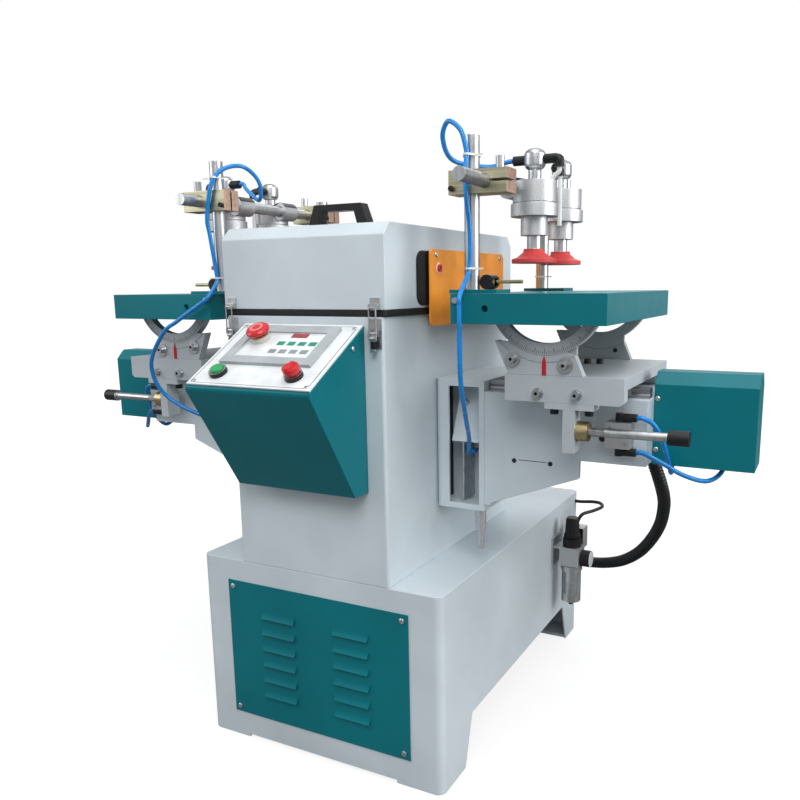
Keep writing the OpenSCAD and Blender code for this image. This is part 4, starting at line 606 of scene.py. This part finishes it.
def make_body():
    """Cabinet, column and hood with what is fixed to them."""
    gland_from, casing_bottom, handle_from = 261, 468.9, HOOD_TOP - 0.5
    dressed("base_cabinet", [body_paint, black_plastic], 2.0, lambda x, y, z, n: int(x > gland_from))
    dressed("louvre_panel", [teal_paint], 0.5)
    dressed("column", [body_paint], 1.6)
    dressed("column_seal", [black_rubber], 1.5)
    dressed("control_box", [teal_paint], 2.2)
    dressed("control_panel", [white_film], 0.5)
    dressed("side_casings", [body_paint, blasted_alloy], 0.9, lambda x, y, z, n: int(z < casing_bottom))
    dressed("beds", [body_paint, black_plastic], 1.0, on_conduit_gland)
    dressed("end_covers", [teal_paint], 1.0)
    dressed("hood", [body_paint], 1.8)
    dressed("side_guards", [orange_sheet, black_rubber, plated_steel], 0.4, guard_finish)
    dressed("hood_hardware", [plated_steel, black_plastic], 0.5, lambda x, y, z, n: int(z > handle_from))
    dressed("hood_mounts", [plated_steel], 0.3)
    dressed("guide_rails", [rail_steel], 0.4)
    dressed("feed_cylinders", [ground_steel], 0.6)
    for side, sign in SIDES:
        lever = side + "_latch_lever"
        dressed(lever, [plated_steel], 0.3)
        dressed(side + "_latch_bail", [plated_steel])
        small_box(side + "_latch_sleeve", sign, LATCH_SLEEVE, 0.8, black_plastic, BODY_OF[lever])


def on_conduit_gland(x, y, z, normal):
    """Picks the black gland inside the right bed."""
    middle, reach, below_plate = CONDUIT_ROUTE[0], 19, BED_TOP - 12.5
    return int(math.hypot(x - middle[0], y - middle[1]) < reach and z < below_plate)


def guard_finish(x, y, z, normal):
    """Picks the curtain next to the hood, the guard sheet outside and the standoffs between."""
    curtain_face, sheet_back = 169.1, 174.9
    if abs(x) < curtain_face:
        return 1
    return 0 if abs(x) > sheet_back else 2


# Control panel, measured right of its middle, down its slope and out from the box
PANEL_X = 3
PANEL_TOP = 812
PANEL_DROP = 91
PANEL_REACH = 154
PANEL_SLOPE = math.atan2(PANEL_DROP, PANEL_REACH)
PANEL_LENGTH = math.hypot(PANEL_DROP, PANEL_REACH)
PANEL_HALF = 123
PLATE = 3
MEMBRANE = 6
ESTOP_AT = (-49, 53)
PANEL = Matrix.Translation(place(PANEL_X, 0, PANEL_TOP)) @ Matrix.Rotation(PANEL_SLOPE, 4, "X")


def on_panel(u, v, w):
    """A point measured on the panel, in the frame's metres."""
    return PANEL @ (Vector((u, -v, w)) * MM)


def panel_place(x, y, z):
    """A machine point, measured on the panel."""
    local = PANEL.inverted() @ place(x, y, z)
    return local.x / MM, -local.y / MM, local.z / MM


def display_finish(x, y, z, normal):
    """Picks bezel, membrane, readout and keys of the display unit."""
    u, v, w = panel_place(x, y, z)
    bezel_u, bezel_top, bezel_bottom, bezel_rise = 73.9, 34.1, 103.9, 1.5
    key_rise, readout_bottom, first_row_bottom = 0.3, 50, 74
    if w > MEMBRANE + bezel_rise or abs(u) > bezel_u or v < bezel_top or v > bezel_bottom:
        return 1
    if w < MEMBRANE + key_rise:
        return 0
    if v < readout_bottom:
        return 2
    return 3 if v < first_row_bottom else 4


def bezel_finish(x, y, z, normal):
    """Picks the pale stop collar, and silver tops on the black button bases."""
    u, v, w = panel_place(x, y, z)
    buttons_from, silver_from = 100, PLATE + 7.5
    if v < buttons_from:
        return 0
    return 2 if w > silver_from else 1


def strip_outline(name, corners, width, height, material):
    """A thin printed line round a closed run of panel corners."""
    corner_share, thickness = 1.4, 0.12
    bm = bmesh.new()
    count = len(corners)
    middle = Vector((sum(c[0] for c in corners) / count, sum(c[1] for c in corners) / count))
    rows = []
    for u, v in corners:
        inward = (middle - Vector((u, v))).normalized() * width * corner_share
        rows.append((bm.verts.new(on_panel(u, v, height)),
                     bm.verts.new(on_panel(u + inward.x, v + inward.y, height))))
    for (a, b), (c, d) in zip(rows, rows[1:] + rows[:1]):
        bm.faces.new((a, c, d, b))
    bmesh.ops.solidify(bm, geom=bm.faces[:], thickness=thickness * MM)
    fitted(name, mesh_of(name, bm), material, "frame")


def make_controls():
    """Display, buttons and the printed lines of the panel."""
    dressed("display_unit", [white_film, grey_bezel, readout_red, key_green, key_grey_and_slot_shade], 0.35, display_finish)
    dressed("button_bezels", [pale_collar, black_plastic, plated_steel], 0.5, bezel_finish)
    dressed("estop_button", [red_plastic], 0.6)
    dressed("start_button", [green_plastic], 0.6)
    dressed("stop_button", [red_plastic], 0.6)
    border, notch, above = 7, 7, 0.1
    line_half, line_top, line_bottom = 72, 38, 100
    collar_height, stem_height, head_height = 9, 4.3, 11
    right, bottom = PANEL_HALF - border, PANEL_LENGTH - border
    inner, upper, lower = right - notch, border + notch, bottom - notch
    strip_outline("panel_border", [
        (-inner, border), (inner, border), (inner, upper), (right, upper), (right, lower), (inner, lower),
        (inner, bottom), (-inner, bottom), (-inner, lower), (-right, lower), (-right, upper), (-inner, upper)],
        1.0, PLATE + above, print_and_shade_black)
    strip_outline("display_line", [(-line_half, line_top), (line_half, line_top), (line_half, line_bottom),
                                   (-line_half, line_bottom)], 0.7, MEMBRANE + above, grey_bezel)
    top = MEMBRANE + collar_height + stem_height + head_height
    ring = turned("estop_ring", [(7.5, 0), (7.5, 0.3), (11.5, 0.25), (11.5, -0.4)], 40)
    ring.transform(PANEL @ Matrix.Translation(Vector((ESTOP_AT[0], -ESTOP_AT[1], top)) * MM))
    fitted("estop_ring", ring, pale_red, "estop")


# Screws
def make_screws():
    """Screw heads of the fixed body, in place of the plain ones."""
    panel_x, panel_y, panel_z, first_turn = 185.5, -2, (65, 314), 0.4
    plate_inset, plate_top, plate_bottom = 10.5, 12, PANEL_LENGTH - 10.5
    cover_x, cover_y, cover_z = 555, 222, (688, 602)
    box_y, box_z = -36, 778
    guard_y, guard_z, plug_y, plug_z = (155, 440), 930, 164, 906
    spots = [(place(x, panel_y, z), facing(TO_FRONT, first_turn + x)) for x in (-panel_x, panel_x)
             for z in panel_z]
    heads = bolted("panel_screws", spots, 5.2, 3.4, "cross", plated_steel, "frame")
    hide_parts("frame_screws")
    up_panel = PANEL.to_3x3() @ Vector((0, 0, 1))
    panel_u = PANEL_HALF - plate_inset
    spots = [(on_panel(u, v, PLATE), facing(up_panel, u)) for u in (-panel_u, panel_u)
             for v in (plate_top, plate_bottom)]
    bolted("plate_screws", spots, 3.4, 2.0, "cross", plated_steel, "frame")
    spots = [(place(sign * cover_x, cover_y, z), facing(TO_FRONT, z)) for _, sign in SIDES for z in cover_z]
    spots += [(place(sign * PANEL_HALF + PANEL_X, box_y, box_z), facing((sign, 0, 0))) for _, sign in SIDES]
    bolted("cover_screws", spots, 4.2, 2.6, "cross", plated_steel, "frame")
    spots = [(place(sign * GUARD_FACE, y, guard_z), facing((sign, 0, 0), y)) for _, sign in SIDES
             for y in guard_y]
    bolted("guard_screws", spots, 5.0, 2.8, "cross", plated_steel, "hood")
    spots = [(place(sign * GUARD_FACE, plug_y, plug_z), facing((sign, 0, 0))) for _, sign in SIDES]
    washer = turned("guard_washer", [(0, 0), (9, 0), (9, 0.8), (8.4, 1.2), (0, 1.2)])
    spread("guard_washers", spots, washer, white_nylon, "hood")
    bolted("guard_plugs", spots, 6.5, 5, "hexagon", red_plastic, "hood")


# Stations
def valve_finish(x, y, z, normal):
    """Picks the elbows and the roller's arm beside a valve's block."""
    left, right, low, high = 486.9, 528.1, 612.9, 656.1
    return int(not (left < abs(x) < right and low < z < high))


VALVE_FACE = 147
VALVE_SCREWS = ((496, VALVE_FACE, 647), (519, VALVE_FACE, 622))
VALVE_ROLLER = (481.4, 160, 627)
ROLLER_PROFILE = ((0, 0), (4.2, 0), (5.4, 0.8), (5.4, 7.2), (4.2, 8), (0, 8))
VALVE_STRIP = ((492, 523), (146.2, VALVE_FACE), (632, 637))
MOUTH_PLATE = ((209, 212), (194, 242.9), (481, 592))
# A black strip along the mouth's inner edge. It closes a gap there, and its black is painted shade of the
# mouth's inner corner
MOUTH_SHADE_STRIP = ((161.3, 166), (224, 242.8), (476, 702))
CHUTE_SCREW = (207, 219, 663)
CHUTE_WAY = (0, -0.917, -0.4)
MOUTH_SCREW = (199, 243, 513)
BED_FACE = 177
# Painted shade: a black strip stands for the shade in the bed's groove, and two black discs for the shade in
# its two holes
BED_GROOVE_SHADE = ((326, 378), (176.9, 177.3), (571.2, 572.4))
BED_HOLE_SHADES = ((318, BED_FACE, 570), (385, BED_FACE, 570))


def make_fixed_station():
    """Limit valves, and the fine pieces on the casings and beds."""
    dressed("limit_valves", [blasted_alloy, black_plastic], 0.5, valve_finish)
    for side, sign in SIDES:
        spots = [(place(*spot), facing(TO_FRONT)) for spot in mirrored(VALVE_SCREWS, sign)]
        bolted(side + "_valve_screws", spots, 3.6, 2.6, "hexagon", plated_steel, "frame")
        roller = turned(side + "_valve_roller", ROLLER_PROFILE, 32)
        at = place(*mirrored([VALVE_ROLLER], sign)[0])
        roller.transform(Matrix.Translation(at) @ Matrix.Rotation(math.pi / 2, 4, "X"))
        fitted(side + "_valve_roller", roller, black_plastic, "frame")
        small_box(side + "_valve_strip", sign, VALVE_STRIP, 0.3, black_plastic, "frame")
        small_box(side + "_mouth_plate", sign, MOUTH_PLATE, 0.4, plated_steel, "frame")
        # Its black is painted shade of the mouth's inner corner
        small_box(side + "_mouth_seal", sign, MOUTH_SHADE_STRIP, 0.4, black_rubber, "frame")
        chute_at, mouth_at = mirrored([CHUTE_SCREW, MOUTH_SCREW], sign)
        spots = [(place(*chute_at), facing(CHUTE_WAY)), (place(*mouth_at), facing(TO_FRONT))]
        bolted(side + "_mouth_screws", spots, 5.5, 5, "hexagon", plated_steel, "frame")
        # Painted shade of the bed's groove and holes, in black
        small_box(side + "_bed_groove", sign, BED_GROOVE_SHADE, 0.0, print_and_shade_black, "frame")
        spots = [(place(*spot), facing(TO_FRONT)) for spot in mirrored(BED_HOLE_SHADES, sign)]
        bolted(side + "_bed_plugs", spots, 4.2, 0.8, "hexagon", print_and_shade_black, "frame")


CARRIAGE_MIDDLE = 264.5
CRADLE_CLAMPS = ((344.4, 757.9), (432.5, 750.2))
CARRIAGE_SCREWS = CRADLE_CLAMPS + ((388, 703.7), (452, 703.7))


def hardware_finish(x, y, z, normal):
    """Picks the red pointers, and the screw sockets painted black as painted shade, among the bright hardware
    of a carriage.
    """
    pointer_half, low, high = 3.6, 732.9, 765.5
    front_pointer, rear_pointer = (99, 101.01), (410, 412.01)
    near = abs(abs(x) - PIVOT_X) < pointer_half and low < z < high
    if near and any(start < y < end for start, end in (front_pointer, rear_pointer)):
        return 1
    # The sockets' black is painted shade: the shade that falls inside the screws' hex holes
    socket_radius, socket_front, socket_floor = 4.2, 90.3, 95
    from_end = min(y, 2 * CARRIAGE_MIDDLE - y)
    if socket_front < from_end < socket_floor:
        for socket_x, socket_z in CARRIAGE_SCREWS:
            if math.hypot(abs(x) - socket_x, z - socket_z) < socket_radius:
                return 2
    return 0


def handle_finish(x, y, z, normal):
    """Picks bracket, nut, bar and grip along the feed handle."""
    nut, bar, grip, bracket_low = 450.1, 470.1, 594.1, 670
    if abs(x) < nut or z > bracket_low:
        return 0
    if abs(x) < bar:
        return 1
    return 2 if abs(x) < grip else 3


def posts_finish(x, y, z, normal):
    """Picks posts, foot plates, stop and stop rod."""
    foot_bottom, foot_top, stop_low = TABLE_TOP - 0.1, TABLE_TOP + 6.1, TABLE_TOP + 5.9
    stop_from, rod_from, stop_back, margin = 281.2, 305.2, 142, 0.2
    if abs(x) > rod_from and z > foot_top:
        return 3
    if abs(x) > stop_from and z > stop_low:
        return 2 if z > foot_top or y > stop_back else 1
    beside_post = min(math.hypot(abs(x) - POST_X, y - post_y) for post_y in POSTS_Y) > POST_RADIUS + margin
    return 1 if foot_bottom < z < foot_top and beside_post else 0


def holddown_finish(x, y, z, normal):
    """Picks bars, their cut ends, and the bright bolts and rod."""
    bar_left, bar_right, half_height, half_depth = 235, 337, 19, 20
    rod_x, rod_reach, margin, end_margin = 298, 11.02, 0.05, 0.1
    if math.hypot(abs(x) - rod_x, z - ROD_HEIGHT) < rod_reach:
        return 2
    if abs(z - ROD_HEIGHT) > half_height + margin:
        return 2
    if min(abs(y - post_y) for post_y in POSTS_Y) > half_depth + margin:
        return 3
    return int(min(abs(abs(x) - bar_left), abs(abs(x) - bar_right)) < end_margin)


def cylinder_finish(x, y, z, normal):
    """Picks the cast bodies, the bright fittings on top and their black elbows."""
    body_top, axis_x, drum = 1047.1, 338, 18.05
    if z < body_top:
        return 0
    near = min(math.hypot(abs(x) - axis_x, y - axis) for axis in CYLINDERS_Y)
    return 2 if near > drum else 1


def pad_finish(x, y, z, normal):
    """Picks the piston rod above the rubber pad."""
    pad_top = 936.05
    return int(z > pad_top)


# Screws and pipes of the right station. The left one has them mirrored.
TEE_SCREWS = ((411, 117, 679), (469, 117, 679))
RUNNER_SCREWS = ((409, 306, 733), (430, 314, 733))
REAR_CRADLE_FACE = 412
FRONT_BEND = ((374, 211, 1082), (379, 211, 1081.5), (382, 211, 1078), (382, 211, 1068))
FRONT_PIPE = ((382, 211, 1069), (380, 211, 1060), (371, 211, 1052), (366, 211, 1044))
REAR_BEND = ((339, 334, 1082), (343, 320, 1081.5), (349, 310, 1077), (350, 309, 1066))
REAR_PIPE = ((350, 309, 1070), (350, 309, 1050), (350, 309, 1010), (350, 309, 980))
BEND_RADIUS = 7.2
PIPE_RADIUS = 4
PIPE_SIDES = 20


def make_station(side, sign):
    """What moves on one side, and its fine pieces."""
    dressed(side + "_carriage", [casting_paint], 0.8)
    # Its black finish is painted shade in the screw sockets
    dressed(side + "_carriage_hardware", [plated_steel, red_plastic, print_and_shade_black], 0.4, hardware_finish)
    dressed(side + "_cradles", [casting_paint], 0.8)
    dressed(side + "_feed_handle", [casting_paint, gold_nut, plated_steel, black_plastic], 0.6, handle_finish)
    dressed(side + "_table", [teal_paint], 0.8)
    dressed(side + "_trunnions", [casting_paint], 0.3)
    dressed(side + "_post_set", [ground_steel, teal_paint, black_plastic, gold_nut], 0.5, posts_finish)
    dressed(side + "_holddown", [zinc_bar, bar_end, ground_steel, black_plastic], 0.5, holddown_finish)
    dressed(side + "_cylinders", [blasted_alloy, plated_steel, black_plastic], 0.7, cylinder_finish)
    for which in ("front", "rear"):
        dressed(side + "_" + which + "_pad", [pad_rubber, ground_steel], 0.8, pad_finish)
    carriage = side + "_carriage"
    spots = [(place(*spot), facing((0, 0, -1))) for spot in mirrored(TEE_SCREWS, sign)]
    bolted(side + "_tee_screws", spots, 7, 10, "hexagon", black_plastic, carriage)
    spots = [(place(*spot), facing((0, 0, 1))) for spot in mirrored(RUNNER_SCREWS, sign)]
    bolted(side + "_runner_screws", spots, 6.5, 9, "hexagon", black_plastic, carriage)
    spots = [(place(sign * x, REAR_CRADLE_FACE, z), facing(TO_FRONT)) for x, z in CRADLE_CLAMPS]
    bolted(side + "_cradle_plugs", spots, 4.2, 0.6, "hexagon", print_and_shade_black, carriage)
    for name, route, radius, material, slot in (
            ("front_bend", FRONT_BEND, BEND_RADIUS, black_plastic, "black_plastic"),
            ("rear_bend", REAR_BEND, BEND_RADIUS, black_plastic, "black_plastic"),
            ("front_pipe", FRONT_PIPE, PIPE_RADIUS, white_nylon, "white_panel"),
            ("rear_pipe", REAR_PIPE, PIPE_RADIUS, white_nylon, "white_panel")):
        line = smooth_line(mirrored(route, sign))
        mesh = tube_mesh(f"{side}_{name}", line, [radius * MM] * len(line), PIPE_SIDES)
        fitted(f"{side}_{name}", mesh, material, side + "_holddown")


def make_scale(side, sign):
    """Degree ticks along the front trunnion ring, long at every tenth."""
    outer, face_y, last_degree, step, proud, sunk = 97, 101.3, 56, 2, 0.15, 0.2
    for name, is_long, half_length, half_width, inset in (
            ("short", False, 2.6, 0.3, 3), ("long", True, 4.6, 0.4, 5)):
        spots = []
        for degree in range(-last_degree, last_degree + 1, step):
            if (degree % 10 == 0) == is_long:
                angle = math.radians(degree)
                x = sign * PIVOT_X + (outer - inset) * math.sin(angle)
                z = TABLE_TOP - (outer - inset) * math.cos(angle)
                spots.append((place(x, face_y, z), tuple(Matrix.Rotation(-angle, 3, "Y").to_euler())))
        low, high = Vector((-half_width, -proud, -half_length)), Vector((half_width, sunk, half_length))
        mark = box_mesh(name + "_mark", low * MM, high * MM)
        spread(f"{side}_{name}_ticks", spots, mark, print_and_shade_black, side + "_table")


TIES = {"right": ((110, 901, (272, 89)), (110, 1078, (269, 88.5)), (450, 890, None)),
        "left": ((110, 892, (-264, 90.5)), (110, 1078, (-257, 90)), (450, 890, None))}


def make_ties(side, sign):
    """Nylon ties drawn round a post, and round the tube where it runs there."""
    band, tail, slack, thickness, corners = 3.2, 12, 0.7, 1.1, 40
    tail_back, tail_up, post_side = (-11, -9.8), (0.6, 2.6), POST_X + POST_RADIUS
    for index, (post_y, height, tube) in enumerate(TIES[side]):
        rounds = [(sign * POST_X, post_y, POST_RADIUS + slack)]
        if tube:
            rounds.append((*tube, TUBE_RADIUS + slack))
        ring = [Vector((x + r * across, y + r * along))
                for x, y, r in rounds for across, along in circle(corners)]
        outline = [ring[k] for k in convex_hull_2d(ring)]
        loop = bmesh.new()
        rows = [(loop.verts.new(place(p.x, p.y, height)), loop.verts.new(place(p.x, p.y, height + band)))
                for p in outline]
        for (a, b), (c, d) in zip(rows, rows[1:] + rows[:1]):
            loop.faces.new((a, c, d, b))
        bmesh.ops.recalc_face_normals(loop, faces=loop.faces)
        bmesh.ops.solidify(loop, geom=loop.faces[:], thickness=-thickness * MM)
        name = f"{side}_tie_{index}"
        fitted(name, mesh_of(name, loop), white_nylon, side + "_table")
        spans = ((post_side, post_side + tail), [post_y + back for back in tail_back],
                 [height + up for up in tail_up])
        small_box(name + "_tail", sign, spans, 0.0, white_nylon, side + "_table")


# Air regulator
REGULATOR_X = 300
REGULATOR_Y = 590
BOWL_RADIUS = 22


def on_regulator(z):
    """A height on the regulator's axis."""
    return place(REGULATOR_X, REGULATOR_Y, z)


def regulator_finish(x, y, z, normal):
    """Picks bracket and block, the black bonnet and gauge, and the bowl."""
    bowl_top, bonnet_low, bonnet_from, bonnet_back, gauge_from = 235.95, 280.05, 275, 613, 323.05
    if x > gauge_from:
        return 1
    if z < bowl_top:
        return 2
    return int(z > bonnet_low and x > bonnet_from and y < bonnet_back)


def make_regulator():
    """The air regulator, its ridged knob and the fine pieces on it."""
    dressed("air_regulator", [blasted_alloy, black_plastic, plated_steel], 0.8, regulator_finish)
    knob_radius, low, high, ridges, cut_depth, cut_share = 19, 300.3, 348.3, 28, 4.2, 0.955
    slot_z, slot_degrees, collar_z, drain_z = 194, (-115, -25, 65, 155), 224, 137
    gauge_x, gauge_z = 345.05, 254
    profile = [(9.05, 0), (knob_radius - 1, 0), (knob_radius, 1.5), (knob_radius, 8), (knob_radius - 2, 11),
               (knob_radius - 4, high - low - 5), (knob_radius - 6.5, high - low), (0, high - low)]
    mesh = turned("regulator_knob_ridges", profile, 4 * ridges)
    for vert in mesh.vertices:
        turn = math.atan2(vert.co.y, vert.co.x) * ridges
        if math.hypot(vert.co.x, vert.co.y) > (knob_radius - cut_depth) * MM and math.cos(turn) < 0:
            vert.co.x *= cut_share
            vert.co.y *= cut_share
    smoothed(mesh)
    mesh.transform(Matrix.Translation(on_regulator(low)))
    piece = shown("regulator_knob_ridges", mesh, [black_plastic])
    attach(piece, "regulator_knob")
    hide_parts("regulator_knob")
    # Grey strips for the bowl's slots: their grey is painted shade inside the slots
    slot_mesh = box_mesh("bowl_slot", Vector((-3.5, -26, -1)) * MM, Vector((3.5, 26, 0.6)) * MM, 0.5)
    spots = []
    for degree in slot_degrees:
        out = Vector((math.cos(math.radians(degree)), math.sin(math.radians(degree)), 0))
        spots.append((on_regulator(slot_z) + out * BOWL_RADIUS * MM, facing(out)))
    spread("bowl_slots", spots, slot_mesh, key_grey_and_slot_shade, "frame")
    collar = turned("bowl_collar", [(BOWL_RADIUS, 0), (24.5, 0.8), (24.5, 10.2), (BOWL_RADIUS, 11)])
    collar.transform(Matrix.Translation(on_regulator(collar_z)))
    fitted("bowl_collar", collar, plated_steel, "frame")
    drain = turned("bowl_drain", [(0, 0), (4, 0), (5, 1), (5, 7), (8, 9), (8, 12), (0, 12)])
    drain.transform(Matrix.Translation(on_regulator(drain_z)))
    fitted("bowl_drain", drain, black_plastic, "frame")
    dial = turned("gauge_dial", [(0, 0), (16, 0), (16, 0.6), (17.5, 1.2), (18.4, 0.2)], 40)
    gauge_at = place(gauge_x, REGULATOR_Y, gauge_z)
    dial.transform(Matrix.Translation(gauge_at) @ Matrix.Rotation(math.pi / 2, 4, "Y"))
    fitted("gauge_dial", dial, white_film, "frame")


def tray_finish(x, y, z, normal):
    """Picks the black drive and the pale relays on the electrics plate."""
    tray_front, tray_half, relay_from, drive_to = 86.9, 184.3, 15, -35
    if y > tray_front or abs(x) > tray_half:
        return 0
    if x < drive_to:
        return 1
    return 2 if x > relay_from else 0


def make_insides():
    """What the cabinet and the column hold."""
    dressed("electrics_plate", [plated_steel, black_plastic, white_nylon], 0.6, tray_finish)
    dressed("spindle_slide", [casting_paint], 1.0)
    dressed("spindle_head", [teal_paint], 1.0)
    dressed("cutter_head", [plated_steel], 0.4)


# Studio
def seen_directly(tree):
    """One for what the camera sees, and zero for light that bounces on."""
    return tree.nodes.new("ShaderNodeLightPath").outputs["Is Camera Ray"]


def make_floor():
    """A floor that keeps the shadow near the machine, fades to white around it, and bounces little light."""
    half, depth, near, far, near_glow = 15, 0.02, 0.9, 2.2, 0.82
    cloud_scale, dark, light = 0.6, (0.19, 0.19, 0.19), (0.21, 0.21, 0.21)
    floor = box_mesh("studio_floor", (-half, -half, -depth), (half, half, 0))
    material, tree, shader, where = new_material("studio_floor", 0.9, gloss=0.0)
    away = tree.nodes.new("ShaderNodeVectorMath")
    away.operation = "LENGTH"
    wire(tree, away, Vector=where)
    fade = add_node(tree, "ShaderNodeMapRange", Value=away.outputs["Value"], From_Min=near, From_Max=far,
                    To_Min=near_glow, To_Max=1.0)
    glow = tree.nodes.new("ShaderNodeMath")
    glow.operation = "MULTIPLY"
    tree.links.new(fade.outputs["Result"], glow.inputs[0])
    tree.links.new(seen_directly(tree), glow.inputs[1])
    wire(tree, shader, Base_Color=tint(tree, noise(tree, where, cloud_scale, 2), dark, light),
         Emission_Color=(1, 1, 1, 1), Emission_Strength=glow.outputs["Value"])
    shown("studio_floor", floor, [material])


def make_world():
    """White for what the camera sees, and an even pale light for the rest."""
    sky_colour, sky_strength = (0.95, 0.98, 1.0, 1), 0.50
    world = bpy.data.worlds.new("studio")
    bpy.context.scene.world = world
    world.use_nodes = True
    tree = world.node_tree
    tree.nodes.clear()
    light = add_node(tree, "ShaderNodeBackground", Color=sky_colour, Strength=sky_strength)
    white = add_node(tree, "ShaderNodeBackground", Color=(1, 1, 1, 1))
    mix = add_node(tree, "ShaderNodeMixShader", Fac=seen_directly(tree))
    tree.links.new(light.outputs["Background"], mix.inputs[1])
    tree.links.new(white.outputs["Background"], mix.inputs[2])
    add_node(tree, "ShaderNodeOutputWorld", Surface=mix.outputs["Shader"])


# Each lamp's place and size in metres, and its power in watts
LAMPS = (("key_lamp", (1.6, -2.6, 3.4), 2.6, 80),
         ("top_lamp", (0.4, -0.4, 3.8), 2.6, 34),
         ("left_lamp", (-3.2, -2.2, 2.2), 2.4, 34),
         ("right_lamp", (3.6, 0.4, 1.8), 2.4, 76),
         ("back_lamp", (-0.6, 3.2, 3.0), 2.4, 24))
LAMP_TARGET = (0, 0, 0.6)


def make_lamps():
    """Round lamps that point at the machine's middle."""
    for name, at, size, watts in LAMPS:
        data = bpy.data.lights.new(name, "AREA")
        data.shape = "DISK"
        data.size = size
        data.energy = watts
        lamp = bpy.data.objects.new(name, data)
        lamp.location = at
        lamp.rotation_euler = (Vector(LAMP_TARGET) - Vector(at)).to_track_quat("-Z", "Y").to_euler()
        bpy.context.scene.collection.objects.link(lamp)


make_camera()
make_tubes()
make_conduit()
make_body()
make_controls()
make_screws()
make_fixed_station()
make_regulator()
make_insides()
for side, sign in SIDES:
    make_station(side, sign)
    make_scale(side, sign)
    make_ties(side, sign)
make_floor()
make_world()
make_lamps()
bpy.context.scene.view_settings.view_transform = "Standard"
